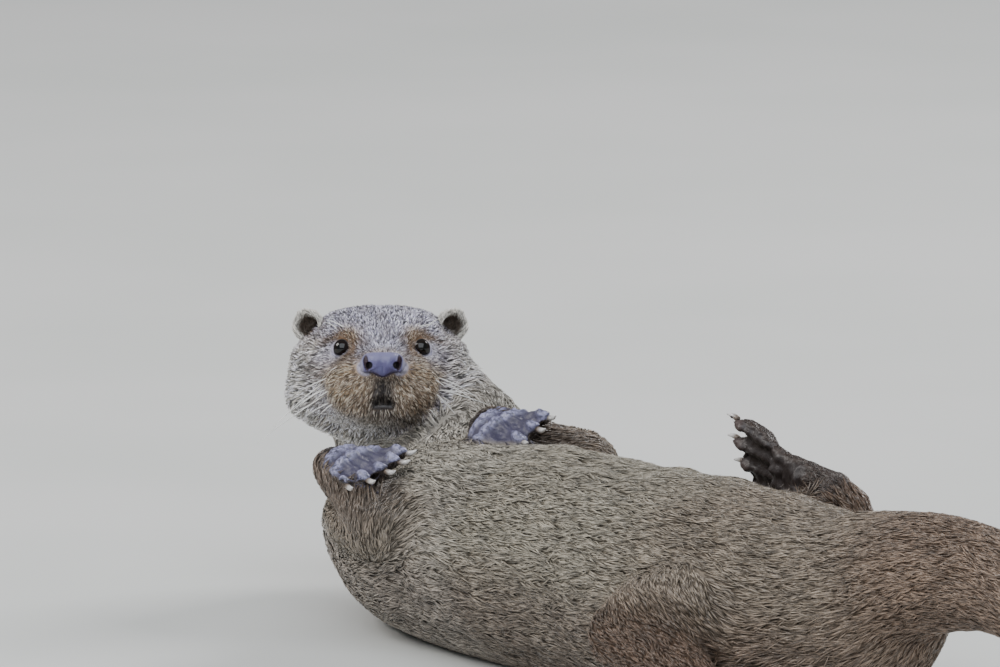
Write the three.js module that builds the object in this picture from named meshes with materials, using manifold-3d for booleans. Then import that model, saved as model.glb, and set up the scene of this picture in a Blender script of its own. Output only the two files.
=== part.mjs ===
// A Eurasian otter at life size, lying on its back with its head raised over its chest.
// Millimetres, +Z up, +X from the head towards the tail. The animal's left side is +Y.
// Every part of the body is a closed loft; neighbours are parted by cuts GAP wide.

import * as THREE from "three";
import { mergeVertices } from "three/addons/utils/BufferGeometryUtils.js";
import Module from "manifold-3d";

const wasm = await Module();
wasm.setup();

// Driving dimensions. Places with the word HEAD or on the face are in the head's own frame.
const GAP = 0.3; // between neighbouring parts
const FAR = 2000; // the side of a cutting block
const WELD = 1e-4; // vertices closer than this are one
const FACE_AZIMUTH = 56.5; // the way the face looks, in degrees round from -Y
const FACE_PITCH = 8.5; // and how far it looks up
const NOSE_POINT = [4.1, -2.8, 147.7];
const HEAD_BACK = -110; // where the head is parted from the neck
const BACK_DEPTH = 68; // from the trunk's middle down to the flattened back
const EYE_RADIUS = 6.6;
const EYE_PLACE = [-37.2, 23.4, 9.2];
const EAR_PLACE = [-87, 41.5, 21.6];
const EAR_SIZE = [6, 9.6, 10.5];
const EAR_LEAN = -0.42; // radians, outwards
const EAR_TURN = 0.35; // radians, to the front
const EAR_HOLLOW = 0.66; // the bowl's share of the ear's outline
const NOSE_SIZE = [7.5, 13.2, 8.2];
const NOSE_DEPTH = -6.5; // the middle of the nose leather
const JAW_DROP = -25.5; // the line of the lips
const JAW_BACK = -62; // the corner of the mouth

// Coat and skin colours.
const COAT = { crown: 0x7c6d5f, back: 0x6a5646, belly: 0x9c8b76, limb: 0x4b3a2f, tail: 0x7a6052 };
const SKIN = { nose: 0x77728a, eye: 0x0c0b0d };

const vec = (x, y, z) => new THREE.Vector3(x, y, z);
const mix = (a, b, t) => a + (b - a) * t;
const UP = vec(0, 0, 1);

/** Turns a closed three.js geometry into a solid for joins and cuts. */
function solid(geometry) {
  geometry.deleteAttribute("normal");
  geometry.deleteAttribute("uv");
  const closed = mergeVertices(geometry, WELD);
  return new wasm.Manifold(new wasm.Mesh({
    numProp: 3,
    vertProperties: new Float32Array(closed.attributes.position.array),
    triVerts: new Uint32Array(closed.index.array),
  }));
}

/** Turns a solid back into a geometry with flat facets. */
function geometryOf(body) {
  const { vertProperties, triVerts } = body.getMesh();
  const geometry = new THREE.BufferGeometry();
  geometry.setAttribute("position", new THREE.BufferAttribute(new Float32Array(vertProperties), 3));
  geometry.setIndex(new THREE.BufferAttribute(new Uint32Array(triVerts), 1));
  geometry.computeVertexNormals();
  return geometry;
}

/** All solids joined to one. */
const joined = (bodies) => bodies.reduce((sum, body) => sum.add(body));

/** The half of space on the side of `point` that `normal` points to, kept half a gap off the plane. */
function halfSpace(point, normal) {
  const turn = new THREE.Quaternion().setFromUnitVectors(UP, normal.clone().normalize());
  const box = new THREE.BoxGeometry(FAR, FAR, FAR);
  box.translate(0, 0, FAR / 2 + GAP / 2);
  box.applyQuaternion(turn);
  box.translate(point.x, point.y, point.z);
  return solid(box);
}

/** Parts a solid by a plane into the piece behind the normal and the piece ahead of it. */
function parted(body, point, normal) {
  const behind = body.intersect(halfSpace(point, normal.clone().negate()));
  const ahead = body.intersect(halfSpace(point, normal));
  return [behind, ahead];
}

/** |value| to a power with its sign kept, which squares or rounds a circle. */
const shaped = (value, power) => Math.sign(value) * Math.abs(value) ** power;

/**
 * A closed loft with round ends along a smooth path.
 * Each station is [x, y, z, half width, half height up, half height down]. `side` gives the azimuth in
 * degrees of the width's direction at every station, `square` the roundness of a section (2 is an ellipse),
 * `caps` the lengths over which the two ends close, `grow` swells the skin outwards, and `ease` draws the
 * rings towards the two ends.
 */
function loft(stations, form) {
  const { side, sides = 16, rings = 12, square = 2, caps = [10, 10], grow = 0, ease = 0.5 } = form;
  const azimuths = Array.isArray(side) ? side : stations.map(() => side);
  const curve = (points, type) => new THREE.CatmullRomCurve3(points, false, type);
  const path = curve(stations.map(([x, y, z]) => vec(x, y, z)), "centripetal");
  const girth = curve(stations.map(([, , , wide, up, down]) => vec(wide, up, down)), "catmullrom");
  const across = curve(azimuths.map((degrees) => {
    const angle = THREE.MathUtils.degToRad(degrees);
    return vec(Math.cos(angle), Math.sin(angle), 0);
  }), "catmullrom");
  const length = path.getLength();
  const geometry = new THREE.SphereGeometry(1, sides, rings);
  const position = geometry.attributes.position;
  const unit = new THREE.Vector3();
  for (let i = 0; i < position.count; i += 1) {
    unit.fromBufferAttribute(position, i);
    const polar = Math.acos(THREE.MathUtils.clamp(unit.y, -1, 1));
    const t = mix(polar / Math.PI, (1 - Math.cos(polar)) / 2, ease);
    const fromStart = Math.min(1, (t * length) / caps[0]);
    const fromEnd = Math.min(1, ((1 - t) * length) / caps[1]);
    const closing = Math.sqrt(1 - (1 - fromStart) ** 2) * Math.sqrt(1 - (1 - fromEnd) ** 2);
    const turn = Math.atan2(unit.z, unit.x);
    const [wide, up, down] = girth.getPoint(t).toArray();
    const tangent = path.getTangent(t);
    const normal = across.getPoint(t).cross(tangent).normalize();
    const width = tangent.clone().cross(normal).normalize();
    const x = shaped(Math.cos(turn), 2 / square) * (wide + grow) * closing;
    const y = shaped(Math.sin(turn), 2 / square) * ((Math.sin(turn) > 0 ? up : down) + grow) * closing;
    const point = path.getPoint(t).addScaledVector(width, x).addScaledVector(normal, y);
    point.addScaledVector(tangent, grow * Math.cos(polar) * -1);
    position.setXYZ(i, point.x, point.y, point.z);
  }
  return oriented(geometry);
}

/** The solid of a geometry, turned inside out first if its faces point inwards. */
function oriented(geometry) {
  const body = solid(geometry.clone());
  if (body.volume() > 0) return body;
  const index = geometry.index.array;
  for (let i = 0; i < index.length; i += 3) {
    [index[i], index[i + 1]] = [index[i + 1], index[i]];
  }
  return solid(geometry);
}

/** An ellipsoid with half axes `half`, turned by `matrix` into place. */
function ellipsoid(half, matrix, sides = 16, rings = 10, grow = 0) {
  const geometry = new THREE.SphereGeometry(1, sides, rings);
  geometry.scale(half[0] + grow, half[1] + grow, half[2] + grow);
  geometry.applyMatrix4(matrix);
  return oriented(geometry);
}

// ---------------------------------------------------------------------------------------------
// The trunk and neck, one loft from the rump to the throat. The belly is the upper side.

const TRUNK = [
  // x, y, z, half width, up to the belly, down to the back
  [540, -15, 96, 29, 27, 30],
  [506, -16, 84, 44, 40, 50],
  [474, -16, 75, 55, 50, 64],
  [438, -16, 68, 64, 58, BACK_DEPTH + 2],
  [390, -16, 65, 70, 63, BACK_DEPTH],
  [330, -16, 65, 73, 64, BACK_DEPTH],
  [265, -16, 65, 71, 61, BACK_DEPTH],
  [200, -16, 65, 70, 61, BACK_DEPTH],
  [140, -14, 64, 71, 58, BACK_DEPTH - 1],
  [88, -8, 62, 68, 52, BACK_DEPTH - 3],
  [42, 6, 59, 65, 46, BACK_DEPTH - 6],
  [2, 26, 58, 57, 37, 58],
  [-46, 54, 62, 48, 30, 46],
];
const TRUNK_SIDES = [90, 90, 90, 90, 90, 90, 90, 88, 84, 76, 66, 60, 58];

const NECK = [
  [88, 6, 58, 50, 44, 48],
  [48, 28, 64, 54, 48, 52],
  [5, 54, 73, 53, 46, 52],
  [-30, 67, 84, 50, 49, 52],
  [-61, 71, 96, 49, 50, 51],
  [-90, 68, 109, 48, 46, 48],
  [-120, 73, 116, 37, 35, 37],
];
const NECK_SIDES = [76, 70, 64, 60, 57, 55, 55];

/** The trunk, from the rump to the throat. */
function trunk(grow = 0) {
  const form = { sides: 20, rings: 22, square: 2.15, caps: [30, 86], ease: 0.1 };
  return loft(TRUNK, { side: TRUNK_SIDES, grow, ...form });
}

/** The neck, which rises from the shoulders to the back of the head. */
function neck(grow = 0) {
  return loft(NECK, { side: NECK_SIDES, sides: 18, rings: 13, caps: [44, 42], grow, ease: 0.3 });
}

// ---------------------------------------------------------------------------------------------
// The head, in its own frame: +X to the nose's front, +Y left, +Z up, origin at the nose point.

const faceTurn = THREE.MathUtils.degToRad(FACE_AZIMUTH - 90);
const facePitch = THREE.MathUtils.degToRad(-FACE_PITCH);
const HEAD = new THREE.Matrix4()
  .makeTranslation(...NOSE_POINT)
  .multiply(new THREE.Matrix4().makeRotationZ(faceTurn))
  .multiply(new THREE.Matrix4().makeRotationY(facePitch));
const inHead = (x, y, z) => vec(x, y, z).applyMatrix4(HEAD);
const headAhead = inHead(1, 0, 0).sub(inHead(0, 0, 0));

const SKULL = [
  // x behind the nose, half width, crown height, jaw depth
  [-132, 42, 6, -42],
  [-112, 51, 25, -47],
  [-92, 56, 34, -49],
  [-74, 55, 36, -48],
  [-58, 50, 32.5, -46],
  [-46, 42.5, 23, -43],
  [-35, 36, 14.5, -40.5],
  [-25, 33.5, 10.5, -37.5],
  [-16, 32, 8, -35.5],
  [-9, 28, 5.5, -32],
  [-4, 21, 0, -26],
];
const HEAD_SQUARE = 2.25;

/** The head with its muzzle, without the eyes, ears and nose leather. */
function skull(grow = 0) {
  const stations = SKULL.map(([x, wide, top, bottom]) => {
    const middle = (top + bottom) / 2;
    const half = (top - bottom) / 2;
    return [x, 0, middle, wide, half, half];
  });
  const body = loft(stations, {
    side: 90, sides: 24, rings: 17, square: HEAD_SQUARE, caps: [40, 9], grow, ease: 0.35,
  });
  return body.transform(HEAD.elements);
}

/** A place in the head's frame, as a matrix. */
const headPlace = (x, y, z) => HEAD.clone().multiply(new THREE.Matrix4().makeTranslation(x, y, z));

/** An eyeball; `side` is 1 on the left and -1 on the right. */
function eye(side, grow = 0) {
  const [x, y, z] = EYE_PLACE;
  return ellipsoid([EYE_RADIUS, EYE_RADIUS, EYE_RADIUS], headPlace(x, side * y, z), 12, 6, grow);
}

/** A small round ear: a thick disc, hollowed in front. */
function ear(side) {
  const [x, y, z] = EAR_PLACE;
  const [thick, wide, high] = EAR_SIZE;
  const place = headPlace(x, side * y, z)
    .multiply(new THREE.Matrix4().makeRotationX(side * EAR_LEAN))
    .multiply(new THREE.Matrix4().makeRotationZ(side * EAR_TURN));
  const bowl = place.clone().multiply(new THREE.Matrix4().makeTranslation(thick * 0.95, 0, -1));
  const shell = ellipsoid(EAR_SIZE, place, 12, 8);
  const hollow = ellipsoid([thick * 0.85, wide * EAR_HOLLOW, high * EAR_HOLLOW], bowl, 10, 6);
  return shell.subtract(hollow).subtract(skull(GAP));
}

/** The naked leather at the tip of the nose. */
function noseLeather(grow = 0) {
  return ellipsoid(NOSE_SIZE, headPlace(NOSE_DEPTH, 0, 0), 14, 7, grow);
}

/** The jaw's block of space, below the lips and ahead of the throat; `inset` draws it in. */
function jawSpace(inset) {
  const box = new THREE.BoxGeometry(FAR, FAR, FAR);
  box.translate(JAW_BACK + FAR / 2 + inset, 0, JAW_DROP - FAR / 2 - inset);
  box.applyMatrix4(HEAD);
  return solid(box);
}

// ---------------------------------------------------------------------------------------------
// Limbs. A limb is a chain of joints with a half thickness at each; the paw is built flat in its
// own frame, with +X along the middle digit, +Y across and +Z out of the back of the paw.

// Each sole station is [along, half width, half thickness]. The digits start at `root`, `spread` apart
// and turned `fan` degrees from each other, and reach out by `digits`, which on a foot run from the inner
// toe to the outer one; `claw` is a claw's length.
const PAW = {
  sole: [[-4, 11, 10], [8, 14, 9], [24, 18.5, 7.5], [38, 16, 6]],
  root: 26, spread: 8, fan: 10, digits: [21, 27, 29, 27, 21], radius: 5, claw: 9, web: 20,
};
const FOOT = {
  sole: [[-8, 16, 13], [10, 17, 12], [40, 19.5, 8.5], [64, 19, 7]],
  root: 50, spread: 8.8, fan: 8, digits: [31, 42, 46, 46, 42], radius: 5.6, claw: 8, web: 34,
};
const CLAW_RADIUS = 1.6;
const WEB_THICKNESS = 2.4;
const KNUCKLE_LIFT = 1.4;
const TIP_DROP = -1.2;

/** A paw in its own frame, from the wrist at the origin out to the claws. */
function paw({ sole, root, spread, fan, digits, radius, claw, web }) {
  const pieces = [loft(
    sole.map(([x, wide, thick]) => [x, 0, 0, wide, thick, thick]),
    { side: 90, sides: 8, rings: 5, caps: [10, 8] },
  )];
  digits.forEach((reach, i) => {
    const turn = (i - 2) * fan;
    const out = vec(1, 0, 0).applyAxisAngle(UP, THREE.MathUtils.degToRad(turn));
    const at = (along, lift) => vec(root + out.x * along, (i - 2) * spread + out.y * along, lift);
    const station = (along, lift, size) => {
      const girth = radius * size;
      return [...at(along, lift).toArray(), girth, girth, radius];
    };
    pieces.push(loft(
      [station(0, 0, 1), station(reach * 0.55, KNUCKLE_LIFT, 0.95), station(reach, TIP_DROP, 0.78)],
      { side: 90 + turn, sides: 6, rings: 3, caps: [radius, radius] },
    ));
    const nail = new THREE.ConeGeometry(CLAW_RADIUS, claw, 4);
    nail.applyQuaternion(new THREE.Quaternion().setFromUnitVectors(vec(0, 1, 0), out));
    nail.translate(...at(reach + claw * 0.2, 0.2).toArray());
    pieces.push(oriented(nail));
  });
  const middle = new THREE.Matrix4().makeTranslation(root + web * 0.35, 0, -0.3);
  pieces.push(ellipsoid([web, spread * 2.5 + radius * 0.6, WEB_THICKNESS], middle, 8, 4));
  return joined(pieces);
}

/** A frame at `origin` with +X towards `ahead` and +Z as near `back` as it goes. */
function frameAt(origin, ahead, back) {
  const x = ahead.clone().normalize();
  const y = back.clone().cross(x).normalize();
  const z = x.clone().cross(y);
  return new THREE.Matrix4().makeBasis(x, y, z).setPosition(origin);
}

/**
 * A whole limb: upper and lower segment and the paw, parted at its joints by the plane that halves
 * each bend. `joints` are shoulder, elbow and wrist, or hip, knee and heel.
 */
function limb({ joints, girth, pawForm, pawAhead, pawBack, side }) {
  const [root, middle, end] = joints.map((p) => vec(...p));
  const ahead = vec(...pawAhead).normalize();
  const segment = (from, to, [a, b, c], caps) => {
    const centre = from.clone().lerp(to, 0.45);
    return loft([
      [from.x, from.y, from.z, a, a, a],
      [centre.x, centre.y, centre.z, b, b, b],
      [to.x, to.y, to.z, c, c, c],
    ], { side, sides: 12, rings: 8, caps });
  };
  const beyond = (from, to, extra) => to.clone().add(to.clone().sub(from).setLength(extra));
  const [shoulderGirth, , elbowGirth] = girth.upper;
  const [lowerGirth, , wristGirth] = girth.lower;
  const elbowEnd = beyond(root, middle, elbowGirth * 0.7);
  const upper = segment(root, elbowEnd, girth.upper, [shoulderGirth * 0.9, elbowGirth]);
  const elbowStart = beyond(end, middle, lowerGirth * 0.8);
  const wristEnd = beyond(middle, end, wristGirth * 0.6);
  const lower = segment(elbowStart, wristEnd, girth.lower, [lowerGirth, wristGirth]);
  const hand = paw(pawForm).transform(frameAt(end, ahead, vec(...pawBack)).elements);
  const middleNormal = end.clone().sub(middle).normalize().sub(root.clone().sub(middle).normalize());
  const endNormal = ahead.clone().sub(middle.clone().sub(end).normalize());
  const body = trunk(GAP).add(neck(GAP)).add(tail(GAP));
  const upperPart = upper.intersect(halfSpace(middle, middleNormal.clone().negate())).subtract(body);
  const lowerPart = lower
    .intersect(halfSpace(middle, middleNormal))
    .intersect(halfSpace(end, endNormal.clone().negate()))
    .subtract(body);
  const handPart = hand.intersect(halfSpace(end, endNormal)).subtract(body);
  return [upperPart, lowerPart, handPart].map(largest);
}

/** The largest separate body of a solid, which drops slivers left by a cut. */
function largest(body) {
  const bodies = body.decompose();
  return bodies.reduce((best, next) => (next.volume() > best.volume() ? next : best));
}

const LIMBS = {
  front_left: {
    joints: [[46, 42, 84], [130, 54, 100], [80, 14, 122]],
    girth: { upper: [34, 30, 24], lower: [20, 17, 13] },
    pawForm: PAW, pawAhead: [51, -8, -3], pawBack: [-0.25, 0.5, -0.83], side: 60,
  },
  front_right: {
    joints: [[50, -44, 74], [122, -86, 78], [68, -86, 108]],
    girth: { upper: [34, 27, 20], lower: [18, 16, 12] },
    pawForm: PAW, pawAhead: [58, 6, 0], pawBack: [-0.2, 0.3, -0.93], side: 60,
  },
  hind_left: {
    joints: [[436, 30, 62], [352, 78, 54], [385, 44, 115]],
    girth: { upper: [46, 37, 25], lower: [24, 22, 18] },
    pawForm: FOOT, pawAhead: [-96, 2, 9], pawBack: [0.09, 0.92, 0.34], side: 90,
  },
  hind_right: {
    joints: [[430, -56, 60], [376, -96, 52], [470, -104, 30]],
    girth: { upper: [46, 38, 26], lower: [25, 21, 14] },
    pawForm: { ...FOOT, digits: FOOT.digits.toReversed() },
    pawAhead: [95, -16, -12], pawBack: [0.1, -0.25, 0.96], side: 90,
  },
};

// ---------------------------------------------------------------------------------------------
// The tail, thick at its root, laid down to the floor at its tip.

const TAIL = [
  [468, -16, 76, 44, 40, 46],
  [502, -16, 86, 42, 37, 45],
  [545, -15, 99, 36, 33, 37],
  [595, -14, 104, 31, 28, 31],
  [650, -17, 96, 26, 24, 26],
  [710, -25, 70, 21, 19.5, 21],
  [765, -36, 40, 16.5, 15, 16],
  [815, -46, 16, 12.5, 11, 12],
  [852, -50, 8, 9, 8, 9],
  [884, -50, 5, 5, 5, 6],
];
const TAIL_SIDES = [90, 90, 90, 90, 86, 80, 78, 80, 86, 92];

/** The whole tail, from inside the rump to its tip. */
function tail(grow = 0) {
  return loft(TAIL, { side: TAIL_SIDES, sides: 14, rings: 17, caps: [20, 9], grow, ease: 0.1 });
}

// ---------------------------------------------------------------------------------------------
// The whole animal: the floor flattens what lies on it, then each part gets its own mesh.

const NECK_ROOT = vec(34, 12, 60);
const NECK_AHEAD = vec(-0.91, 0.42, 0.1);
const CHEST_END = vec(176, -16, 60);
const BELLY_END = vec(345, -16, 60);
const TAIL_ROOT = vec(512, -16, 60);
const TAIL_CUTS = [vec(600, -14, 100), vec(740, -30, 54)];
const TAIL_AHEAD = [vec(1, 0, 0), vec(1, -0.15, -0.4)];
const BACKWARD = vec(1, 0, 0.1);
const FUR = 0.7; // roughness
const WET_LEATHER = 0.35;
const CORNEA = 0.05;
const floor = halfSpace(vec(0, 0, -GAP / 2), UP);

const otter = new THREE.Group();

/** Adds one named part with its colour to the animal. */
function addPart(name, body, colour, roughness = FUR) {
  const material = new THREE.MeshStandardMaterial({ color: colour, roughness, metalness: 0 });
  const mesh = new THREE.Mesh(geometryOf(body), material);
  mesh.name = name;
  otter.add(mesh);
}

const bodyWhole = trunk().add(neck()).add(tail()).intersect(floor);
const [tailless, tailWhole] = parted(bodyWhole, TAIL_ROOT, BACKWARD);
const [trunkPart, neckLower] = parted(tailless, NECK_ROOT, NECK_AHEAD);
const [chestPart, trunkBack] = parted(trunkPart, CHEST_END, BACKWARD);
const [bellyPart, rumpPart] = parted(trunkBack, BELLY_END, BACKWARD);

const headPlane = inHead(HEAD_BACK, 0, 0);
const skullWhole = skull().subtract(eye(1, GAP)).subtract(eye(-1, GAP)).subtract(noseLeather(GAP));
const skullBack = skull().intersect(halfSpace(headPlane, headAhead.clone().negate()));
const neckPart = skullBack.add(neckLower).intersect(floor);
const headFront = skullWhole
  .intersect(halfSpace(headPlane, headAhead))
  .subtract(trunk(GAP))
  .subtract(neck(GAP));
const headPart = headFront.subtract(jawSpace(-GAP / 2));
const jawPart = headFront.intersect(jawSpace(GAP / 2));

addPart("head", largest(headPart), COAT.crown);
addPart("lower_jaw", largest(jawPart), COAT.belly);
addPart("nose", noseLeather(), SKIN.nose, WET_LEATHER);
for (const [name, side] of [["left", 1], ["right", -1]]) {
  addPart(`eye_${name}`, eye(side), SKIN.eye, CORNEA);
  addPart(`ear_${name}`, largest(ear(side)), COAT.back);
}
addPart("neck", largest(neckPart), COAT.back);
addPart("chest", largest(chestPart), COAT.belly);
addPart("belly", largest(bellyPart), COAT.belly);
addPart("rump", largest(rumpPart), COAT.belly);

const [tailRoot, tailRest] = parted(tailWhole, TAIL_CUTS[0], TAIL_AHEAD[0]);
const [tailMiddle, tailTip] = parted(tailRest, TAIL_CUTS[1], TAIL_AHEAD[1]);
addPart("tail_root", tailRoot, COAT.tail);
addPart("tail_middle", tailMiddle, COAT.tail);
addPart("tail_tip", tailTip, COAT.tail);

const SEGMENTS = { front: ["upper_arm", "forearm", "paw"], hind: ["thigh", "shank", "foot"] };
for (const [name, form] of Object.entries(LIMBS)) {
  const [end, side] = name.split("_");
  limb(form).forEach((piece, i) => addPart(`${SEGMENTS[end][i]}_${side}`, piece, COAT.limb));
}

// The origin is on the floor, under the middle of the animal.
const bounds = new THREE.Box3().setFromObject(otter);
const middle = bounds.getCenter(vec(0, 0, 0));
otter.position.set(-middle.x, -middle.y, 0);

export default otter;
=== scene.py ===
"""A life-size Eurasian otter on its back: one skin, its wet coat, eyes, nose, ears, whiskers, claws."""

import logging
import math
from dataclasses import dataclass, field, replace
from enum import IntEnum
from typing import Sequence

import bmesh
import bpy
import numpy as np
from mathutils import Matrix, Vector
from mathutils.bvhtree import BVHTree
from mathutils.kdtree import KDTree


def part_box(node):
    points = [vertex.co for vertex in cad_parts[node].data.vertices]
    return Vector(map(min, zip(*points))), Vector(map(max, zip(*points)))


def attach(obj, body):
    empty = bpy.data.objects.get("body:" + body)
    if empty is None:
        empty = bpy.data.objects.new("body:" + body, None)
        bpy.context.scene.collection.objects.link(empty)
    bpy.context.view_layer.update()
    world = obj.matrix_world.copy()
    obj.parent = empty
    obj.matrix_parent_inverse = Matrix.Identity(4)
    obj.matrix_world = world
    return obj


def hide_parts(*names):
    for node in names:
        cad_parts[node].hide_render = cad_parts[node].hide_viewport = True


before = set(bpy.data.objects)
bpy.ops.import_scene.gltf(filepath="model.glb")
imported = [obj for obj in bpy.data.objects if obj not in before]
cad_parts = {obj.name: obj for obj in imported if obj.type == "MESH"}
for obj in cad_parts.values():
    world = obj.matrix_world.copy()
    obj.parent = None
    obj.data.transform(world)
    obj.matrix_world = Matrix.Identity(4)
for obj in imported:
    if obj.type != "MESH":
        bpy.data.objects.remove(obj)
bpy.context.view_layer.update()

MM = 0.001
LOG = logging.getLogger("otter")
Array = np.ndarray


# ---- Small helpers for numbers and vectors.


def unit(vectors: Array) -> Array:
    """Vectors of length one."""
    return vectors / np.maximum(np.linalg.norm(vectors, axis=-1, keepdims=True), 1e-12)


def smooth(low: float, high: float, value: Array) -> Array:
    """0 below `low`, 1 above `high`, and a smooth step between; `low` may be the larger."""
    t = np.clip((value - low) / (high - low), 0, 1)
    return t * t * (3 - 2 * t)


def bell(value: Array, width: float) -> Array:
    """A bell curve of height 1 around zero."""
    return np.exp(-((value / width) ** 2))


def lerp(a: Array, b: Array, t: Array) -> Array:
    """`a` where `t` is 0 and `b` where it is 1."""
    return a + (b - a) * t


def apart(turn: Array, other: float) -> Array:
    """How far each angle lies from another, the short way round, in radians."""
    return np.abs(np.angle(np.exp(1j * (turn - other))))


def centre(node: str) -> Vector:
    """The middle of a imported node's box."""
    low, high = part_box(node)
    return (low + high) / 2


def circle(count: int) -> Array:
    """Angles evenly round a circle, in radians."""
    return np.linspace(0, 2 * math.pi, count, endpoint=False)


def linked(name: str, data: bpy.types.ID) -> bpy.types.Object:
    """A new object in the scene.

    Args:
        name: its name.
        data: its mesh, camera or light.

    Returns:
        The object.
    """
    made = bpy.data.objects.new(name, data)
    bpy.context.scene.collection.objects.link(made)
    return made


class Waves:
    """Smooth random waves over space, the same in every run."""

    def __init__(self, scale: float, seed: int, count: int = 24) -> None:
        """Draws the waves.

        Args:
            scale: the length of a wave, in metres.
            seed: names the draw.
            count: how many waves are added up.
        """
        rng = np.random.default_rng(seed)
        ways = unit(rng.normal(size=(count, 3)))
        self.ways = ways * rng.uniform(0.7, 1.4, (count, 1)) * 2 * math.pi / scale
        self.phases = rng.uniform(0, 2 * math.pi, count)

    def __call__(self, points: Array) -> Array:
        """The waves' sum at each point, mostly between -1 and 1."""
        return np.sin(points @ self.ways.T + self.phases).sum(1) / math.sqrt(len(self.phases))


# ---- The head's own frame, in which every feature of the face is placed.


class Side(IntEnum):
    """A side of the animal, as the sign of y in the head's frame."""

    LEFT = 1
    RIGHT = -1

    @property
    def word(self) -> str:
        """left or right."""
        return self.name.lower()


@dataclass
class HeadFrame:
    """Millimetres with x ahead to the nose, y to the animal's left and z up, from the nose's front."""

    pitch: float = math.radians(8.5)
    eye: tuple = (-37.2, 23.4, 9.2)

    def __post_init__(self) -> None:
        """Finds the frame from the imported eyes."""
        left, right = centre("eye_left"), centre("eye_right")
        side = (left - right).normalized()
        level = side.cross(Vector((0, 0, 1))).normalized()
        ahead = level * math.cos(self.pitch) + Vector((0, 0, 1)) * math.sin(self.pitch)
        above = ahead.cross(side)
        origin = (left + right) / 2 - ahead * self.eye[0] * MM - above * self.eye[2] * MM
        self.axes = np.array([ahead, side, above])
        self.origin = np.array(origin)

    def place(self, local: Array) -> Array:
        """Places given in the head's millimetres, in the row's metres."""
        return self.origin + np.asarray(local, float) * MM @ self.axes

    def local(self, points: Array) -> Array:
        """Places given in the row's metres, in the head's millimetres."""
        return (points - self.origin) @ self.axes.T / MM

    def way(self, local: Array) -> Array:
        """A direction in the head's frame, in the row's frame."""
        return np.asarray(local, float) @ self.axes


HEAD = HeadFrame()


# ---- Meshes as arrays.


@dataclass
class Surface:
    """A triangle mesh with a normal and any number of named values at each point."""

    points: Array
    tris: Array
    values: dict[str, Array] = field(default_factory=dict)

    @property
    def count(self) -> int:
        """How many points it has."""
        return len(self.points)

    def normals(self) -> Array:
        """The normal at each point.

        Returns:
            One unit vector for each point.
        """
        a, b, c = (self.points[self.tris[:, i]] for i in range(3))
        face = np.cross(b - a, c - a)
        total = np.zeros_like(self.points)
        for axis in range(3):
            for corner in range(3):
                total[:, axis] += np.bincount(self.tris[:, corner], face[:, axis], self.count)
        return unit(total)

    def edges(self) -> Array:
        """Each edge once, as a pair of points.

        Returns:
            Pairs of point numbers.
        """
        pairs = np.concatenate([self.tris[:, [0, 1]], self.tris[:, [1, 2]], self.tris[:, [2, 0]]])
        pairs.sort(axis=1)
        return np.unique(pairs, axis=0)

    def outward(self, way: Array | None = None) -> "Surface":
        """The surface with its faces turned out, or towards `way` where it isn't closed.

        Args:
            way: the side that an open surface faces.

        Returns:
            The same points with turned faces.
        """
        a, b, c = (self.points[self.tris[:, i]] for i in range(3))
        cross = np.cross(b - a, c - a)
        total = (cross @ way).sum() if way is not None else ((a - self.points.mean(0)) * cross).sum()
        tris = self.tris if total > 0 else self.tris[:, ::-1]
        return Surface(self.points, tris, self.values)

    def tree(self) -> BVHTree:
        """A tree for finding the nearest place on the surface."""
        return BVHTree.FromPolygons(self.points.tolist(), self.tris.tolist())

    def joined(self, other: "Surface") -> "Surface":
        """Both surfaces as one; values that one of them lacks are 0 there.

        Args:
            other: the surface to add.

        Returns:
            The new surface.
        """
        values = {}
        for key in {**self.values, **other.values}:
            like = self.values.get(key, other.values.get(key))
            mine = self.values.get(key, np.zeros((self.count, *like.shape[1:])))
            theirs = other.values.get(key, np.zeros((other.count, *like.shape[1:])))
            values[key] = np.concatenate([mine, theirs])
        return Surface(
            np.concatenate([self.points, other.points]),
            np.concatenate([self.tris, other.tris + self.count]),
            values,
        )

    def piece(
        self, name: str, material: bpy.types.Material, spots: Array | None = None
    ) -> bpy.types.Object:
        """Makes the Blender object.

        Args:
            name: the piece's name.
            material: its finish.
            spots: the place of each point on the OFBake map, where the piece has one.

        Returns:
            The new object, linked to the scene.
        """
        mesh = bpy.data.meshes.new(name)
        mesh.vertices.add(self.count)
        mesh.vertices.foreach_set("co", self.points.astype(np.float32).ravel())
        mesh.loops.add(len(self.tris) * 3)
        mesh.loops.foreach_set("vertex_index", self.tris.astype(np.int32).ravel())
        mesh.polygons.add(len(self.tris))
        mesh.polygons.foreach_set("loop_start", np.arange(0, len(self.tris) * 3, 3, dtype=np.int32))
        mesh.update(calc_edges=True)
        mesh.polygons.foreach_set("use_smooth", np.ones(len(self.tris), bool))
        for key, value in self.values.items():
            layer = mesh.attributes.new(key, "FLOAT", "POINT")
            layer.data.foreach_set("value", value.astype(np.float32))
        if spots is not None:
            mapped = mesh.uv_layers.new(name="OFBake")
            mapped.data.foreach_set("uv", spots[self.tris.ravel()].astype(np.float32).ravel())
        mesh.materials.append(material)
        mesh.validate()
        return linked(name, mesh)


# Shares for a pass in and a pass out, which smooth a surface and keep its volume.
GENTLE = (0.5, -0.52)
STRONG = (0.55, -0.57)


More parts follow.
